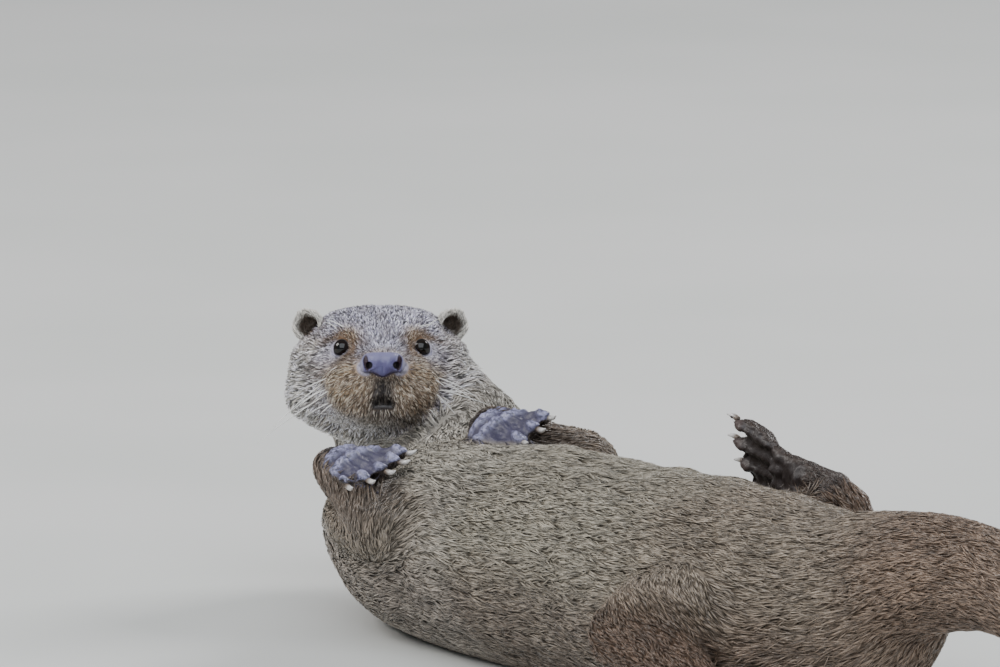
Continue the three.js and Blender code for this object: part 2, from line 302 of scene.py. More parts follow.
def averaged(surface: Surface, values: Array, passes: int, share: float | Sequence[float] = 0.5) -> Array:
    """Smooths values over a surface by drawing each to its neighbours' mean.

    Args:
        surface: where the values live.
        values: one row for each point.
        passes: how often it is done.
        share: how far each pass goes; a negative share swells, and several take turns.

    Returns:
        The smoothed values.
    """
    edges = surface.edges()
    ends = np.concatenate([edges[:, 0], edges[:, 1]])
    others = np.concatenate([edges[:, 1], edges[:, 0]])
    degree = np.maximum(np.bincount(ends, minlength=surface.count), 1)[:, None]
    flat = values.reshape(surface.count, -1).copy()
    shares = [share] if np.isscalar(share) else list(share)
    for step in range(passes):
        total = np.stack([np.bincount(ends, column[others], surface.count) for column in flat.T], 1)
        flat += shares[step % len(shares)] * (total / degree - flat)
    return flat.reshape(values.shape)


def rings(rows: Array, capped: bool = True) -> Surface:
    """A surface through closed rings of points.

    Args:
        rows: rings x points x 3 places.
        capped: whether the first and last ring are filled.

    Returns:
        The surface, with its points in ring order.
    """
    count, width = rows.shape[:2]
    i, j = np.meshgrid(np.arange(count - 1), np.arange(width), indexing="ij")
    a = (i * width + j).ravel()
    b = (i * width + (j + 1) % width).ravel()
    tris = [np.stack([a, b, b + width], 1), np.stack([a, b + width, a + width], 1)]
    if capped:
        fan = np.arange(1, width - 1)
        tris.append(np.stack([0 * fan, fan + 1, fan], 1))
        tris.append(np.stack([0 * fan, fan, fan + 1], 1) + (count - 1) * width)
    return Surface(rows.reshape(-1, 3), np.concatenate(tris))


# ---- Shader graphs, with arithmetic on their sockets.


class Wire:
    """A number in a shader graph, which can be used in arithmetic."""

    def __init__(self, graph: "Graph", socket: bpy.types.NodeSocket) -> None:
        """Wraps a socket of `graph`."""
        self.graph = graph
        self.socket = socket

    def _math(self, operation: str, first: "Wire | float", second: "Wire | float") -> "Wire":
        """A Math node on two values."""
        return self.graph.add("ShaderNodeMath", {"operation": operation}, {0: first, 1: second})

    def __add__(self, other: "Wire | float") -> "Wire":
        """The sum."""
        return self._math("ADD", self, other)

    def __radd__(self, other: float) -> "Wire":
        """The sum."""
        return self._math("ADD", other, self)

    def __sub__(self, other: "Wire | float") -> "Wire":
        """The difference."""
        return self._math("SUBTRACT", self, other)

    def __rsub__(self, other: float) -> "Wire":
        """The difference."""
        return self._math("SUBTRACT", other, self)

    def __mul__(self, other: "Wire | float") -> "Wire":
        """The product."""
        return self._math("MULTIPLY", self, other)

    def __rmul__(self, other: float) -> "Wire":
        """The product."""
        return self._math("MULTIPLY", other, self)


class Graph:
    """The node tree of one material."""

    def __init__(self, name: str) -> None:
        """Makes a material with an empty tree, its shader and its output.

        Args:
            name: the material's name.
        """
        self.material = bpy.data.materials.new(name)
        self.material.use_nodes = True
        self.tree = self.material.node_tree
        self.tree.nodes.clear()
        self.shader = self.tree.nodes.new("ShaderNodeBsdfPrincipled")
        output = self.tree.nodes.new("ShaderNodeOutputMaterial")
        self.tree.links.new(self.shader.outputs[0], output.inputs[0])

    def add(
        self, kind: str, settings: dict | None = None, inputs: dict | None = None, output: int | str = 0
    ) -> Wire:
        """Adds a node.

        Args:
            kind: the node's type.
            settings: its properties, set first; a ramp's stops come as `stops`.
            inputs: values or wires for its sockets, by name or number.
            output: which output is wanted.

        Returns:
            That output.
        """
        node = self.tree.nodes.new(kind)
        for key, value in (settings or {}).items():
            if key == "stops":
                for index, (place, colour) in enumerate(value):
                    stops = node.color_ramp.elements
                    stop = stops[index] if index < 2 else stops.new(place)
                    stop.position, stop.color = place, (*colour, 1.0)
            else:
                setattr(node, key, value)
        for key, value in (inputs or {}).items():
            self.feed(node.inputs[key], value)
        return Wire(self, node.outputs[output])

    def feed(self, socket: bpy.types.NodeSocket, value: "Wire | float | Sequence[float]") -> None:
        """Links a wire to a socket, or sets the socket's own value.

        Args:
            socket: where it goes.
            value: a wire, a number or a colour.
        """
        if isinstance(value, Wire):
            self.tree.links.new(value.socket, socket)
        elif isinstance(value, (tuple, list)) and len(value) == 3 and len(socket.default_value) == 4:
            socket.default_value = (*value, 1.0)
        else:
            socket.default_value = value

    def value(self, name: str) -> Wire:
        """A value stored on the mesh."""
        return self.add("ShaderNodeAttribute", {"attribute_name": name}, output="Fac")

    def noise(self, scale: float, detail: float = 2.0, rough: float = 0.5) -> Wire:
        """Noise over the object's own space.

        Args:
            scale: waves for each metre.
            detail: octaves.
            rough: how strong the finer octaves are.

        Returns:
            A number around one half.
        """
        place = self.add("ShaderNodeTexCoord", output="Object")
        inputs = {"Vector": place, "Scale": scale, "Detail": detail, "Roughness": rough}
        return self.add("ShaderNodeTexNoise", {}, inputs)

    def blend(
        self, first: "Wire | Sequence[float]", second: "Wire | Sequence[float]", share: "Wire | float",
        mode: str = "MIX",
    ) -> Wire:
        """Mixes two colours."""
        settings = {"data_type": "RGBA", "blend_type": mode}
        return self.add("ShaderNodeMix", settings, {0: share, 6: first, 7: second}, output=2)

    def shaded(self, colour: Wire, shade: Wire) -> Wire:
        """A colour times a number."""
        grey = self.add("ShaderNodeCombineColor", {}, {0: shade, 1: shade, 2: shade})
        return self.blend(colour, grey, 1.0, "MULTIPLY")

    def step(self, value: Wire, low: float, high: float, to_low: float = 0.0, to_high: float = 1.0) -> Wire:
        """A smooth step of a number from one range to another."""
        inputs = {0: value, 1: low, 2: high, 3: to_low, 4: to_high}
        return self.add("ShaderNodeMapRange", {"interpolation_type": "SMOOTHSTEP"}, inputs)

    def bump(self, height: Wire, distance: float, strength: float = 1.0) -> Wire:
        """A bump from a height between 0 and 1."""
        inputs = {"Height": height, "Distance": distance, "Strength": strength}
        return self.add("ShaderNodeBump", {}, inputs)

    def dress(self, **sockets: "Wire | float | Sequence[float]") -> bpy.types.Material:
        """Feeds the shader's sockets, named with _ for spaces, and returns the material.

        Args:
            sockets: values or wires.

        Returns:
            The finished material.
        """
        for name, value in sockets.items():
            self.feed(self.shader.inputs[name.replace("_", " ")], value)
        return self.material


@dataclass(frozen=True)
class Grain:
    """A cloudy pattern: a noise, and the smooth step that takes `low` to `dim` and `high` to `full`."""

    scale: float
    detail: float = 2.0
    rough: float = 0.5
    low: float = 0.3
    high: float = 0.7
    dim: float = 0.0
    full: float = 1.0

    def wire(self, graph: Graph) -> Wire:
        """The pattern over the object."""
        noise = graph.noise(self.scale, self.detail, self.rough)
        return graph.step(noise, self.low, self.high, self.dim, self.full)


@dataclass(frozen=True)
class Markings:
    """The animal's colours, some of them painted light, the same on skin and coat, each where its value on
    the mesh is 1.
    """

    back: tuple = (0.185, 0.140, 0.108)
    # The crown's violet-grey is partly the fur's grey and partly a painted reflection of the sky on wet
    # fur.
    crown: tuple = (0.54, 0.52, 0.68)
    speck: tuple = (0.042, 0.034, 0.042)
    # glint and glints: painted highlights, the wet sparkle on the crown.
    glint: tuple = (0.84, 0.83, 0.92)
    marks: tuple = (
        ("belly", (0.318, 0.282, 0.222)),
        ("tail", (0.185, 0.118, 0.080)),
        ("pale", (0.70, 0.665, 0.61)),
        ("warm", (0.44, 0.30, 0.165)),
        ("rust", (0.140, 0.070, 0.026)),
        # A painted pale reflection of the sky on wet skin: below the eyes, on the lower lids and on the
        # nose's wings.
        ("lilac", (0.62, 0.585, 0.70)),
        ("dark", (0.030, 0.021, 0.020)),
        ("plum", (0.070, 0.064, 0.115)),
        # naked: bare skin; its blue is partly a painted reflection of the sky on wet skin.
        ("naked", (0.230, 0.228, 0.355)),
        ("pad", (0.080, 0.055, 0.050)),
        ("black", (0.010, 0.008, 0.008)),
    )
    specks: Grain = Grain(430, 4, 0.65, 0.50, 0.62)
    glints: Grain = Grain(700, 3, 0.7, 0.56, 0.68)

    def colour(self, graph: Graph) -> Wire:
        """All markings mixed over the back's brown, with specks everywhere and painted glints (highlights)
        on the crown.

        Args:
            graph: the material's node tree.

        Returns:
            The mixed colour.
        """
        crown = graph.value("crown")
        mixed = graph.blend(self.back, self.crown, crown)
        mixed = graph.blend(mixed, self.speck, self.specks.wire(graph) * (0.35 + crown * 0.62))
        # Painted highlights: glints in spots over the crown.
        mixed = graph.blend(mixed, self.glint, self.glints.wire(graph) * crown * 0.75)
        for name, colour in self.marks:
            mixed = graph.blend(mixed, colour, graph.value(name))
        return mixed


@dataclass(frozen=True)
class SkinFinish:
    """Damp hide under the coat, and the naked skin of pads, lips and lids."""

    markings: Markings = Markings()
    mottle: Grain = Grain(160, 4, 0.6, dim=0.62, full=0.86)
    pebbles: Grain = Grain(420, 4, 0.7, 0.38, 0.60, -0.42, 0.50)
    relief: float = 0.0006

    def material(self) -> bpy.types.Material:
        """Builds the material.

        Returns:
            The new material.
        """
        graph = Graph("skin")
        colour = self.markings.colour(graph)
        naked = graph.value("naked")
        mottle = self.mottle.wire(graph)
        mottle = mottle + naked * self.pebbles.wire(graph)
        fine = graph.noise(900, 3, 0.6)
        height = fine * 0.7 + graph.noise(300, 2) * 0.5
        return graph.dress(
            Base_Color=graph.shaded(colour, mottle),
            Roughness=graph.step(fine, 0.3, 0.7, 0.34, 0.55) - naked * 0.1,
            Normal=graph.bump(height, self.relief, 0.7),
        )


@dataclass(frozen=True)
class CoatFinish:
    """Wet fur: darker at the roots, paler at the tips, each lock a bundle of fine hairs."""

    markings: Markings = Markings()
    cream: tuple = (0.72, 0.63, 0.50)
    parting: tuple = (0.13, 0.085, 0.05)
    patches: Grain = Grain(45, 3, 0.6, dim=0.88, full=1.12)
    hairs_across: float = 3.2
    hairs_along: float = 1.4
    relief: float = 0.0004

    def material(self) -> bpy.types.Material:
        """Builds the material.

        Returns:
            The new material.
        """
        graph = Graph("coat")
        colour = self.markings.colour(graph)
        tip, luck, across = graph.value("tip"), graph.value("luck"), graph.value("across")
        inputs = {0: across * self.hairs_across, 1: tip * self.hairs_along, 2: luck * 90}
        place = graph.add("ShaderNodeCombineXYZ", {}, inputs)
        hairs = graph.add("ShaderNodeTexNoise", {}, {"Vector": place, "Scale": 1.0, "Detail": 3.0})
        warm, crown = graph.value("warm"), graph.value("crown")
        # Per lock: painted glints (highlights) and dark specks on the crown, cream hairs and dark partings
        # on the warm patches.
        lucky = (
            (self.markings.glint, crown, 0.60, 0.90, 0.75),
            (self.markings.speck, crown, 0.34, 0.06, 0.72),
            (self.cream, warm, 0.58, 0.85, 0.85),
            (self.parting, warm, 0.36, 0.10, 0.75),
        )
        for tint, where, low, high, share in lucky:
            colour = graph.blend(colour, tint, where * graph.step(luck, low, high) * share)
        shade = graph.step(tip, 0.0, 0.8, 0.48, 1.20) * graph.step(luck, -0.1, 0.9, 0.44, 1.30)
        shade = shade * graph.step(hairs, 0.3, 0.7, 0.78, 1.16)
        shade = shade * self.patches.wire(graph)
        return graph.dress(
            Base_Color=graph.shaded(colour, shade),
            Roughness=graph.step(hairs, 0.3, 0.7, 0.20, 0.42),
            Normal=graph.bump(hairs, self.relief, 0.6),
            Coat_Weight=0.3,
            Coat_Roughness=0.2,
        )


@dataclass(frozen=True)
class NoseFinish:
    """Pebbled wet nose leather."""

    # The leather's and rim's blue is partly a painted reflection of the sky on the wet nose.
    leather: tuple = (0.126, 0.122, 0.255)
    shadow: tuple = (0.084, 0.070, 0.180)
    rim: tuple = (0.30, 0.295, 0.405)
    groove: tuple = (0.022, 0.008, 0.016)
    hollow: tuple = (0.010, 0.006, 0.008)
    clouds: Grain = Grain(260, 3, low=0.35, high=0.65)
    pebbles: float = 900.0
    relief: float = 0.00018

    def material(self) -> bpy.types.Material:
        """Builds the material.

        Returns:
            The new material.
        """
        graph = Graph("nose_leather")
        place = graph.add("ShaderNodeTexCoord", output="Object")
        cells = graph.add("ShaderNodeTexVoronoi", {}, {"Vector": place, "Scale": self.pebbles})
        cloud = self.clouds.wire(graph)
        pit = graph.value("pit")
        colour = graph.blend(self.leather, self.shadow, cloud * 0.7)
        # Paler round the slits, on the wings and towards the top; the top's paleness is a painted
        # highlight.
        colour = graph.blend(colour, self.rim, graph.value("rim"))
        colour = graph.blend(colour, self.groove, graph.value("groove"))
        colour = graph.blend(colour, self.hollow, pit)
        return graph.dress(
            Base_Color=colour,
            Roughness=graph.step(cloud, 0.0, 1.0, 0.30, 0.42) + pit * 0.3,
            Normal=graph.bump(graph.step(cells, 0.0, 0.6, 1.0, 0.0), self.relief, 0.7),
        )


@dataclass(frozen=True)
class EyeFinish:
    """A dark brown iris round a wide pupil, under a clear wet cornea."""

    pupil: tuple = (0.001, 0.001, 0.001)
    iris: tuple = (0.009, 0.004, 0.002)
    streaks: tuple = (0.004, 0.002, 0.0015)
    white: tuple = (0.006, 0.004, 0.004)

    def material(self) -> bpy.types.Material:
        """Builds the material.

        Returns:
            The new material.
        """
        graph = Graph("eye")
        reach = graph.value("reach")
        iris = graph.blend(self.iris, self.streaks, graph.noise(2200, 3))
        colour = graph.blend(self.pupil, iris, graph.step(reach, 0.34, 0.42))
        colour = graph.blend(colour, self.white, graph.step(reach, 0.62, 0.70))
        return graph.dress(Base_Color=colour, Roughness=graph.step(reach, 0.3, 1.2, 0.045, 0.07), IOR=1.45)


@dataclass(frozen=True)
class HornFinish:
    """Claws: dark horn with paler tips, partly horn paler from wear and partly a painted highlight."""

    root: tuple = (0.16, 0.125, 0.10)
    # The pale tips: partly horn paler from wear, partly a painted highlight.
    worn: tuple = (0.68, 0.665, 0.65)
    stain: tuple = (0.06, 0.04, 0.03)
    stains: Grain = Grain(1500, low=0.4)
    relief: float = 0.0001

    def material(self) -> bpy.types.Material:
        """Builds the material.

        Returns:
            The new material.
        """
        graph = Graph("horn")
        tip = graph.value("tip")
        colour = graph.blend(self.root, self.worn, graph.step(tip, 0.1, 0.7))
        colour = graph.blend(colour, self.stain, self.stains.wire(graph) * 0.5)
        return graph.dress(
            Base_Color=colour,
            Roughness=graph.step(tip, 0, 1, 0.28, 0.2),
            Normal=graph.bump(graph.noise(3000, 2), self.relief, 0.4),
        )


@dataclass(frozen=True)
class WhiskerFinish:
    """Pale stiff hair, a little darker at the root."""

    root: tuple = (0.42, 0.36, 0.30)
    shaft: tuple = (0.88, 0.87, 0.84)
    sheen: Grain = Grain(400, 1, dim=0.25, full=0.35)

    def material(self) -> bpy.types.Material:
        """Builds the material.

        Returns:
            The new material.
        """
        graph = Graph("whisker")
        colour = graph.blend(self.root, self.shaft, graph.step(graph.value("tip"), 0.0, 0.25))
        return graph.dress(Base_Color=colour, Roughness=self.sheen.wire(graph))


@dataclass(frozen=True)
class FloorFinish:
    """Plain pale matt floor."""

    dull: tuple = (0.62, 0.63, 0.61)
    pale: tuple = (0.66, 0.66, 0.645)
    clouds: Grain = Grain(3)

    def material(self) -> bpy.types.Material:
        """Builds the material.

        Returns:
            The new material.
        """
        graph = Graph("floor")
        colour = graph.blend(self.dull, self.pale, self.clouds.wire(graph))
        return graph.dress(Base_Color=colour, Roughness=0.65)


# ---- Paws: each has its own frame, x along the middle digit, y across, z out of the back of the paw.


@dataclass(frozen=True)
class PawForm:
    """The sizes of a paw, in millimetres; `fan` is in degrees."""

    root: float
    spread: float
    fan: float
    digits: tuple
    claw: float

    def digit(self, index: int, reach: float) -> tuple[Array, Array]:
        """A place along a digit and the digit's direction, in the paw's frame.

        Args:
            index: which digit, counted across the paw.
            reach: how far along it.

        Returns:
            The place and the direction.
        """
        from_middle = index - len(self.digits) // 2
        turn = math.radians(from_middle * self.fan)
        out = np.array([math.cos(turn), math.sin(turn), 0.0])
        start = np.array([self.root, from_middle * self.spread, 0.0])
        return start + out * reach, out


FOREPAW = PawForm(root=26, spread=8, fan=10, digits=(21, 27, 29, 27, 21), claw=9)
HINDFOOT = PawForm(root=50, spread=8.8, fan=8, digits=(31, 42, 46, 46, 42), claw=8)
MIRRORED_FOOT = replace(HINDFOOT, digits=HINDFOOT.digits[::-1])


@dataclass(frozen=True)
class Paw:
    """A paw where it is: its node, form, wrist and directions in the body's own millimetres."""

    node: str
    form: PawForm
    wrist: tuple
    ahead: tuple
    back: tuple

    @property
    def hind(self) -> bool:
        """Whether it is a hind foot."""
        return self.node.startswith("foot")

    def axes(self) -> Array:
        """The paw's x, y and z directions.

        Returns:
            One unit vector in each row.
        """
        x = unit(np.array(self.ahead, float))
        y = unit(np.cross(np.array(self.back, float), x))
        return np.array([x, y, np.cross(x, y)])

    def origin(self) -> Array:
        """The wrist in the row's metres."""
        return np.array(self.wrist) * MM + BODY_SHIFT

    def local(self, points: Array) -> Array:
        """Places in the paw's millimetres."""
        return (points - self.origin()) @ self.axes().T / MM

    def place(self, local: Array) -> Array:
        """Places in the row's metres."""
        return self.origin() + np.asarray(local, float) * MM @ self.axes()

    def sole(self, local: Array, normals: Array) -> Array:
        """1 on the underside of the paw, from the heel to the claws.

        Args:
            local: places in the paw's millimetres.
            normals: the skin's normals there.

        Returns:
            A value from 0 to 1 for each place.
        """
        form = self.form
        inside = smooth(-14, -4, local[:, 0]) * smooth(form.root + 75, form.root + 62, local[:, 0])
        half = form.spread * (2.0 + 1.6 * smooth(form.root - 4, form.root + 24, local[:, 0]))
        inside = inside * smooth(1.22, 0.92, abs(local[:, 1]) / half)
        inside = inside * smooth(22, 14, abs(local[:, 2]))
        return inside * smooth(0.05, 0.40, -(normals @ self.axes()[2]))

    def toes(self, local: Array) -> Array:
        """1 along the middle of each digit, and 0 between them.

        Args:
            local: places in the paw's millimetres.

        Returns:
            A value from 0 to 1 for each place.
        """
        form = self.form
        total = np.zeros(len(local))
        for index, reach in enumerate(form.digits):
            start, out = form.digit(index, 0.0)
            away = local - start
            along = away @ out
            aside = away[:, 0] * out[1] - away[:, 1] * out[0]
            within = smooth(-14, 2, along) * smooth(reach + 6, reach, along)
            within = within * smooth(20, 13, abs(local[:, 2]))
            total = np.maximum(total, bell(aside, 2.7) * within)
        return total

    def pads(self, local: Array, palm: bool = True) -> Array:
        """1 on each pad: at the tip of each digit and, with `palm`, on two rolls of the palm.

        Args:
            local: places in the paw's millimetres.
            palm: whether the palm has pads too.

        Returns:
            A value from 0 to 1 for each place.
        """
        form = self.form
        order = range(len(form.digits))
        spots = [(form.digit(index, form.digits[index] * 0.84)[0], 6.6, 4.2) for index in order]
        if palm:
            spots += [(form.digit(index, -0.5)[0], 4.8, 5.6) for index in order]
            spots += [((form.root * 0.56, 0.0), 4.3, form.spread * 2.0)]
        total = np.zeros(len(local))
        for spot, along, across in spots:
            away = np.hypot((local[:, 0] - spot[0]) / along, (local[:, 1] - spot[1]) / across)
            total = np.maximum(total, smooth(1.12, 0.62, away))
        return total


# The body's own millimetres count from the trunk's axis under the raised nose.
NOSE_POINT = np.array([4.1, -2.8, 147.7]) * MM
BODY_SHIFT = HEAD.origin - NOSE_POINT
PAWS = (
    Paw("paw_left", FOREPAW, (80, 14, 122), (51, -8, -3), (-0.25, 0.5, -0.83)),
    Paw("paw_right", FOREPAW, (68, -86, 108), (58, 6, 0), (-0.2, 0.3, -0.93)),
    Paw("foot_left", HINDFOOT, (385, 44, 115), (-96, 2, 9), (0.09, 0.92, 0.34)),
    Paw("foot_right", MIRRORED_FOOT, (470, -104, 30), (95, -16, -12), (0.1, -0.25, 0.96)),
)
PAW_NODES = tuple(paw.node for paw in PAWS)
HEAD_NODES = ("head", "lower_jaw")
TRUNK_NODES = ("chest", "belly", "rump", "neck")


# ---- The skin.


@dataclass(frozen=True)
class Region:
    """How the coat grows on one node of the body, in millimetres, and the node that its hair points to."""

    towards: str
    depth: float = 4.0
    length: float = 13.0
    width: float = 2.3
    spacing: float = 2.3
    marks: tuple = ()


TRUNK_COAT = dict(depth=3.4, length=19.0, width=1.2, spacing=1.78)
NECK_COAT = dict(depth=3.4, length=15.0, width=1.2, spacing=1.82)
LIMB_COAT = dict(depth=2.4, length=11.0, width=1.2, spacing=1.6)
PAW_COAT = dict(depth=0.8, length=4.2, width=0.75, spacing=1.05)
TAIL_COAT = dict(depth=2.4, length=15.0, width=1.3, spacing=1.8, marks=(("belly", 0.5), ("tail", 0.8)))
LIMBS = {
    "upper_arm": Region("forearm", **LIMB_COAT, marks=(("belly", 0.7), ("tail", 0.3))),
    "forearm": Region("paw", **LIMB_COAT, marks=(("belly", 0.3), ("tail", 0.6), ("dark", 0.35))),
    "paw": Region("", **PAW_COAT, marks=(("dark", 0.9),)),
    "thigh": Region("shank", **LIMB_COAT, marks=(("belly", 0.9), ("tail", 0.3))),
    "shank": Region("foot", **LIMB_COAT, marks=(("tail", 0.9), ("rust", 0.3), ("dark", 0.38))),
    "foot": Region("", **PAW_COAT, marks=(("tail", 0.6), ("dark", 0.84))),
}
REGIONS: dict[str, Region] = {
    "head": Region("neck"),
    "lower_jaw": Region("neck", marks=(("pale", 0.8),)),
    "neck": Region("chest", **NECK_COAT, marks=(("pale", 0.34), ("belly", 0.7))),
    "chest": Region("belly", **TRUNK_COAT, marks=(("belly", 1.0), ("pale", 0.14))),
    "belly": Region("rump", **TRUNK_COAT, marks=(("belly", 1.0),)),
    "rump": Region("tail_root", **TRUNK_COAT, marks=(("belly", 0.9), ("tail", 0.4))),
    "tail_root": Region("tail_middle", **TAIL_COAT),
    "tail_middle": Region("tail_tip", **TAIL_COAT),
    "tail_tip": Region("", **{**TAIL_COAT, "depth": 1.6, "length": 9.0}),
    **{
        f"{node}_{side.word}": replace(region, towards=region.towards and f"{region.towards}_{side.word}")
        for side in Side
        for node, region in LIMBS.items()
    },
}
NAMES = list(REGIONS)
MARKS = ("crown", *(name for name, _ in Markings().marks))
FIELDS = ("depth", "length", "width", "spacing")


def share_of(weights: Array, *nodes: str) -> Array:
    """How much each point belongs to any of some nodes."""
    return sum(weights[:, NAMES.index(node)] for node in nodes)


@dataclass(frozen=True)
class Spine:
    """The animal's long axis from nose to tail tip, round the bent neck, in the body's millimetres."""

    stations: tuple = (
        (4, -3, 148), (-45, 30, 139), (-84, 56, 131), (-110, 72, 121), (-121, 80, 104), (-108, 80, 90),
        (-61, 71, 84), (-30, 67, 80), (5, 54, 73), (48, 26, 66), (100, -4, 63), (160, -15, 64),
        (300, -16, 65), (420, -16, 67), (490, -16, 80), (545, -15, 97), (595, -14, 104), (650, -17, 96),
        (710, -25, 70), (765, -36, 40), (815, -46, 16), (852, -50, 8), (884, -50, 5),
    )
    step: float = 4.0
    blur: int = 11

    def flow(self, points: Array) -> Array:
        """The direction of the nearest stretch of the axis at each point.

        Args:
            points: places in the row's metres.

        Returns:
            One unit vector for each point.
        """
        path = np.array(self.stations, float)
        along = np.concatenate([[0], np.cumsum(np.linalg.norm(np.diff(path, axis=0), axis=1))])
        places = np.arange(0, along[-1], self.step)
        fine = np.stack([np.interp(places, along, path[:, axis]) for axis in range(3)], 1)
        ways = unit(np.gradient(fine, axis=0))
        kernel = np.hanning(self.blur) / np.hanning(self.blur).sum()
        padded = np.pad(ways, ((self.blur // 2, self.blur // 2), (0, 0)), "edge")
        ways = unit(np.stack([np.convolve(padded[:, axis], kernel, "valid") for axis in range(3)], 1))
        tree = KDTree(len(fine))
        for index, place in enumerate(fine * MM + BODY_SHIFT):
            tree.insert(place, index)
        tree.balance()
        return ways[[tree.find(p)[1] for p in points.tolist()]]


@dataclass(frozen=True)
class Patch:
    """A soft spot on each side of the face, in the head's millimetres.

    Its middle lies `side` from the face's midline and `up` above the nose. `slope` and `bow` bend it,
    `ahead` is its own place along the head, and each of `ends` fades it from one place to another.
    """

    strength: float
    side: float
    width: float
    up: float
    height: float
    slope: float = 0.0
    bow: float = 0.0
    ahead: float = 0.0
    depth: float = math.inf
    ends: tuple = ()

    def at(self, x: Array, side: Array, z: Array) -> Array:
        """Its strength at each place.

        Args:
            x: places along the head.
            side: how far they are from the midline.
            z: how high they are.

        Returns:
            One value for each place.
        """
        off = side - self.side
        found = self.strength * bell(off, self.width) * bell(x - self.ahead, self.depth)
        found = found * bell(z - self.up + self.slope * off + self.bow * off**2, self.height)
        for start, end in self.ends:
            found = found * smooth(start, end, x)
        return found


# Golden hair over the eyes, on the cheeks, at the temples and beside the nose.
WARM_PATCHES = (
    Patch(0.7, side=18, width=7, up=16, height=6, ends=((-60, -40),)),
    Patch(0.5, side=32, width=9, up=-1, height=7),
    Patch(0.22, side=40, width=9, up=14, height=8),
    Patch(0.62, side=19, width=5, up=-0.5, height=5.5, slope=0.5, ends=((-46, -34),)),
)
# Red-brown hair at the eye's inner corner, along the brow, behind the eye and on the brow's ridge.
RUST_PATCHES = (
    Patch(1.0, side=16.5, width=3.0, up=9, height=7, ends=((-60, -44),)),
    Patch(0.9, side=22, width=9, up=17.0, height=2.6, bow=0.03, ends=((-60, -40),)),
    Patch(0.5, side=33, width=5, up=13.1, height=2.0, slope=0.3, ends=((-70, -50),)),
    Patch(0.9, side=22, width=5.5, up=15.2, height=1.6, ends=((-60, -40),)),
)
# A painted pale reflection of the sky below and behind each eye.
PAINTED_SHEEN_PATCH = Patch(0.75, side=33, width=6, up=3.5, height=5.5, ends=((-70, -54),))
# Brow, eye socket, bridge of the nose, dent before the ear, nape behind the ear and lower cheek.
FACE_SWELLS = (
    Patch(1.6, side=20, width=8, up=18.5, height=3.0, ends=((-62, -50), (-18, -28))),
    Patch(-1.3, side=14.5, width=4.0, up=6, height=7.0, ends=((-52, -44), (-14, -22))),
    Patch(1.0, side=0, width=5.5, up=11, height=5.0, ends=((-44, -34),)),
    Patch(-7.5, side=38, width=9, up=19, height=10, ahead=-72, depth=13),
    Patch(6.0, side=29, width=10, up=28, height=10, ahead=-101, depth=14),
    Patch(4.5, side=46, width=12, up=-21, height=10, ends=((-48, -62), (-118, -96))),
)


def off_mouth(side: Array, z: Array) -> Array:
    """How far a place lies above the arched line of the mouth, in the head's millimetres."""
    return z + 23.5 - 2.2 * bell(side, 6) + 0.0042 * side**2


def curl_waves(points: Array, x: Array, side: Array, z: Array) -> tuple[Array, Array]:
    """The wet curls of the cheeks: their waves, and where on the head they are."""
    return Waves(10 * MM, 22)(points), smooth(26, 38, side) * smooth(26, 16, z) * smooth(-108, -96, x)


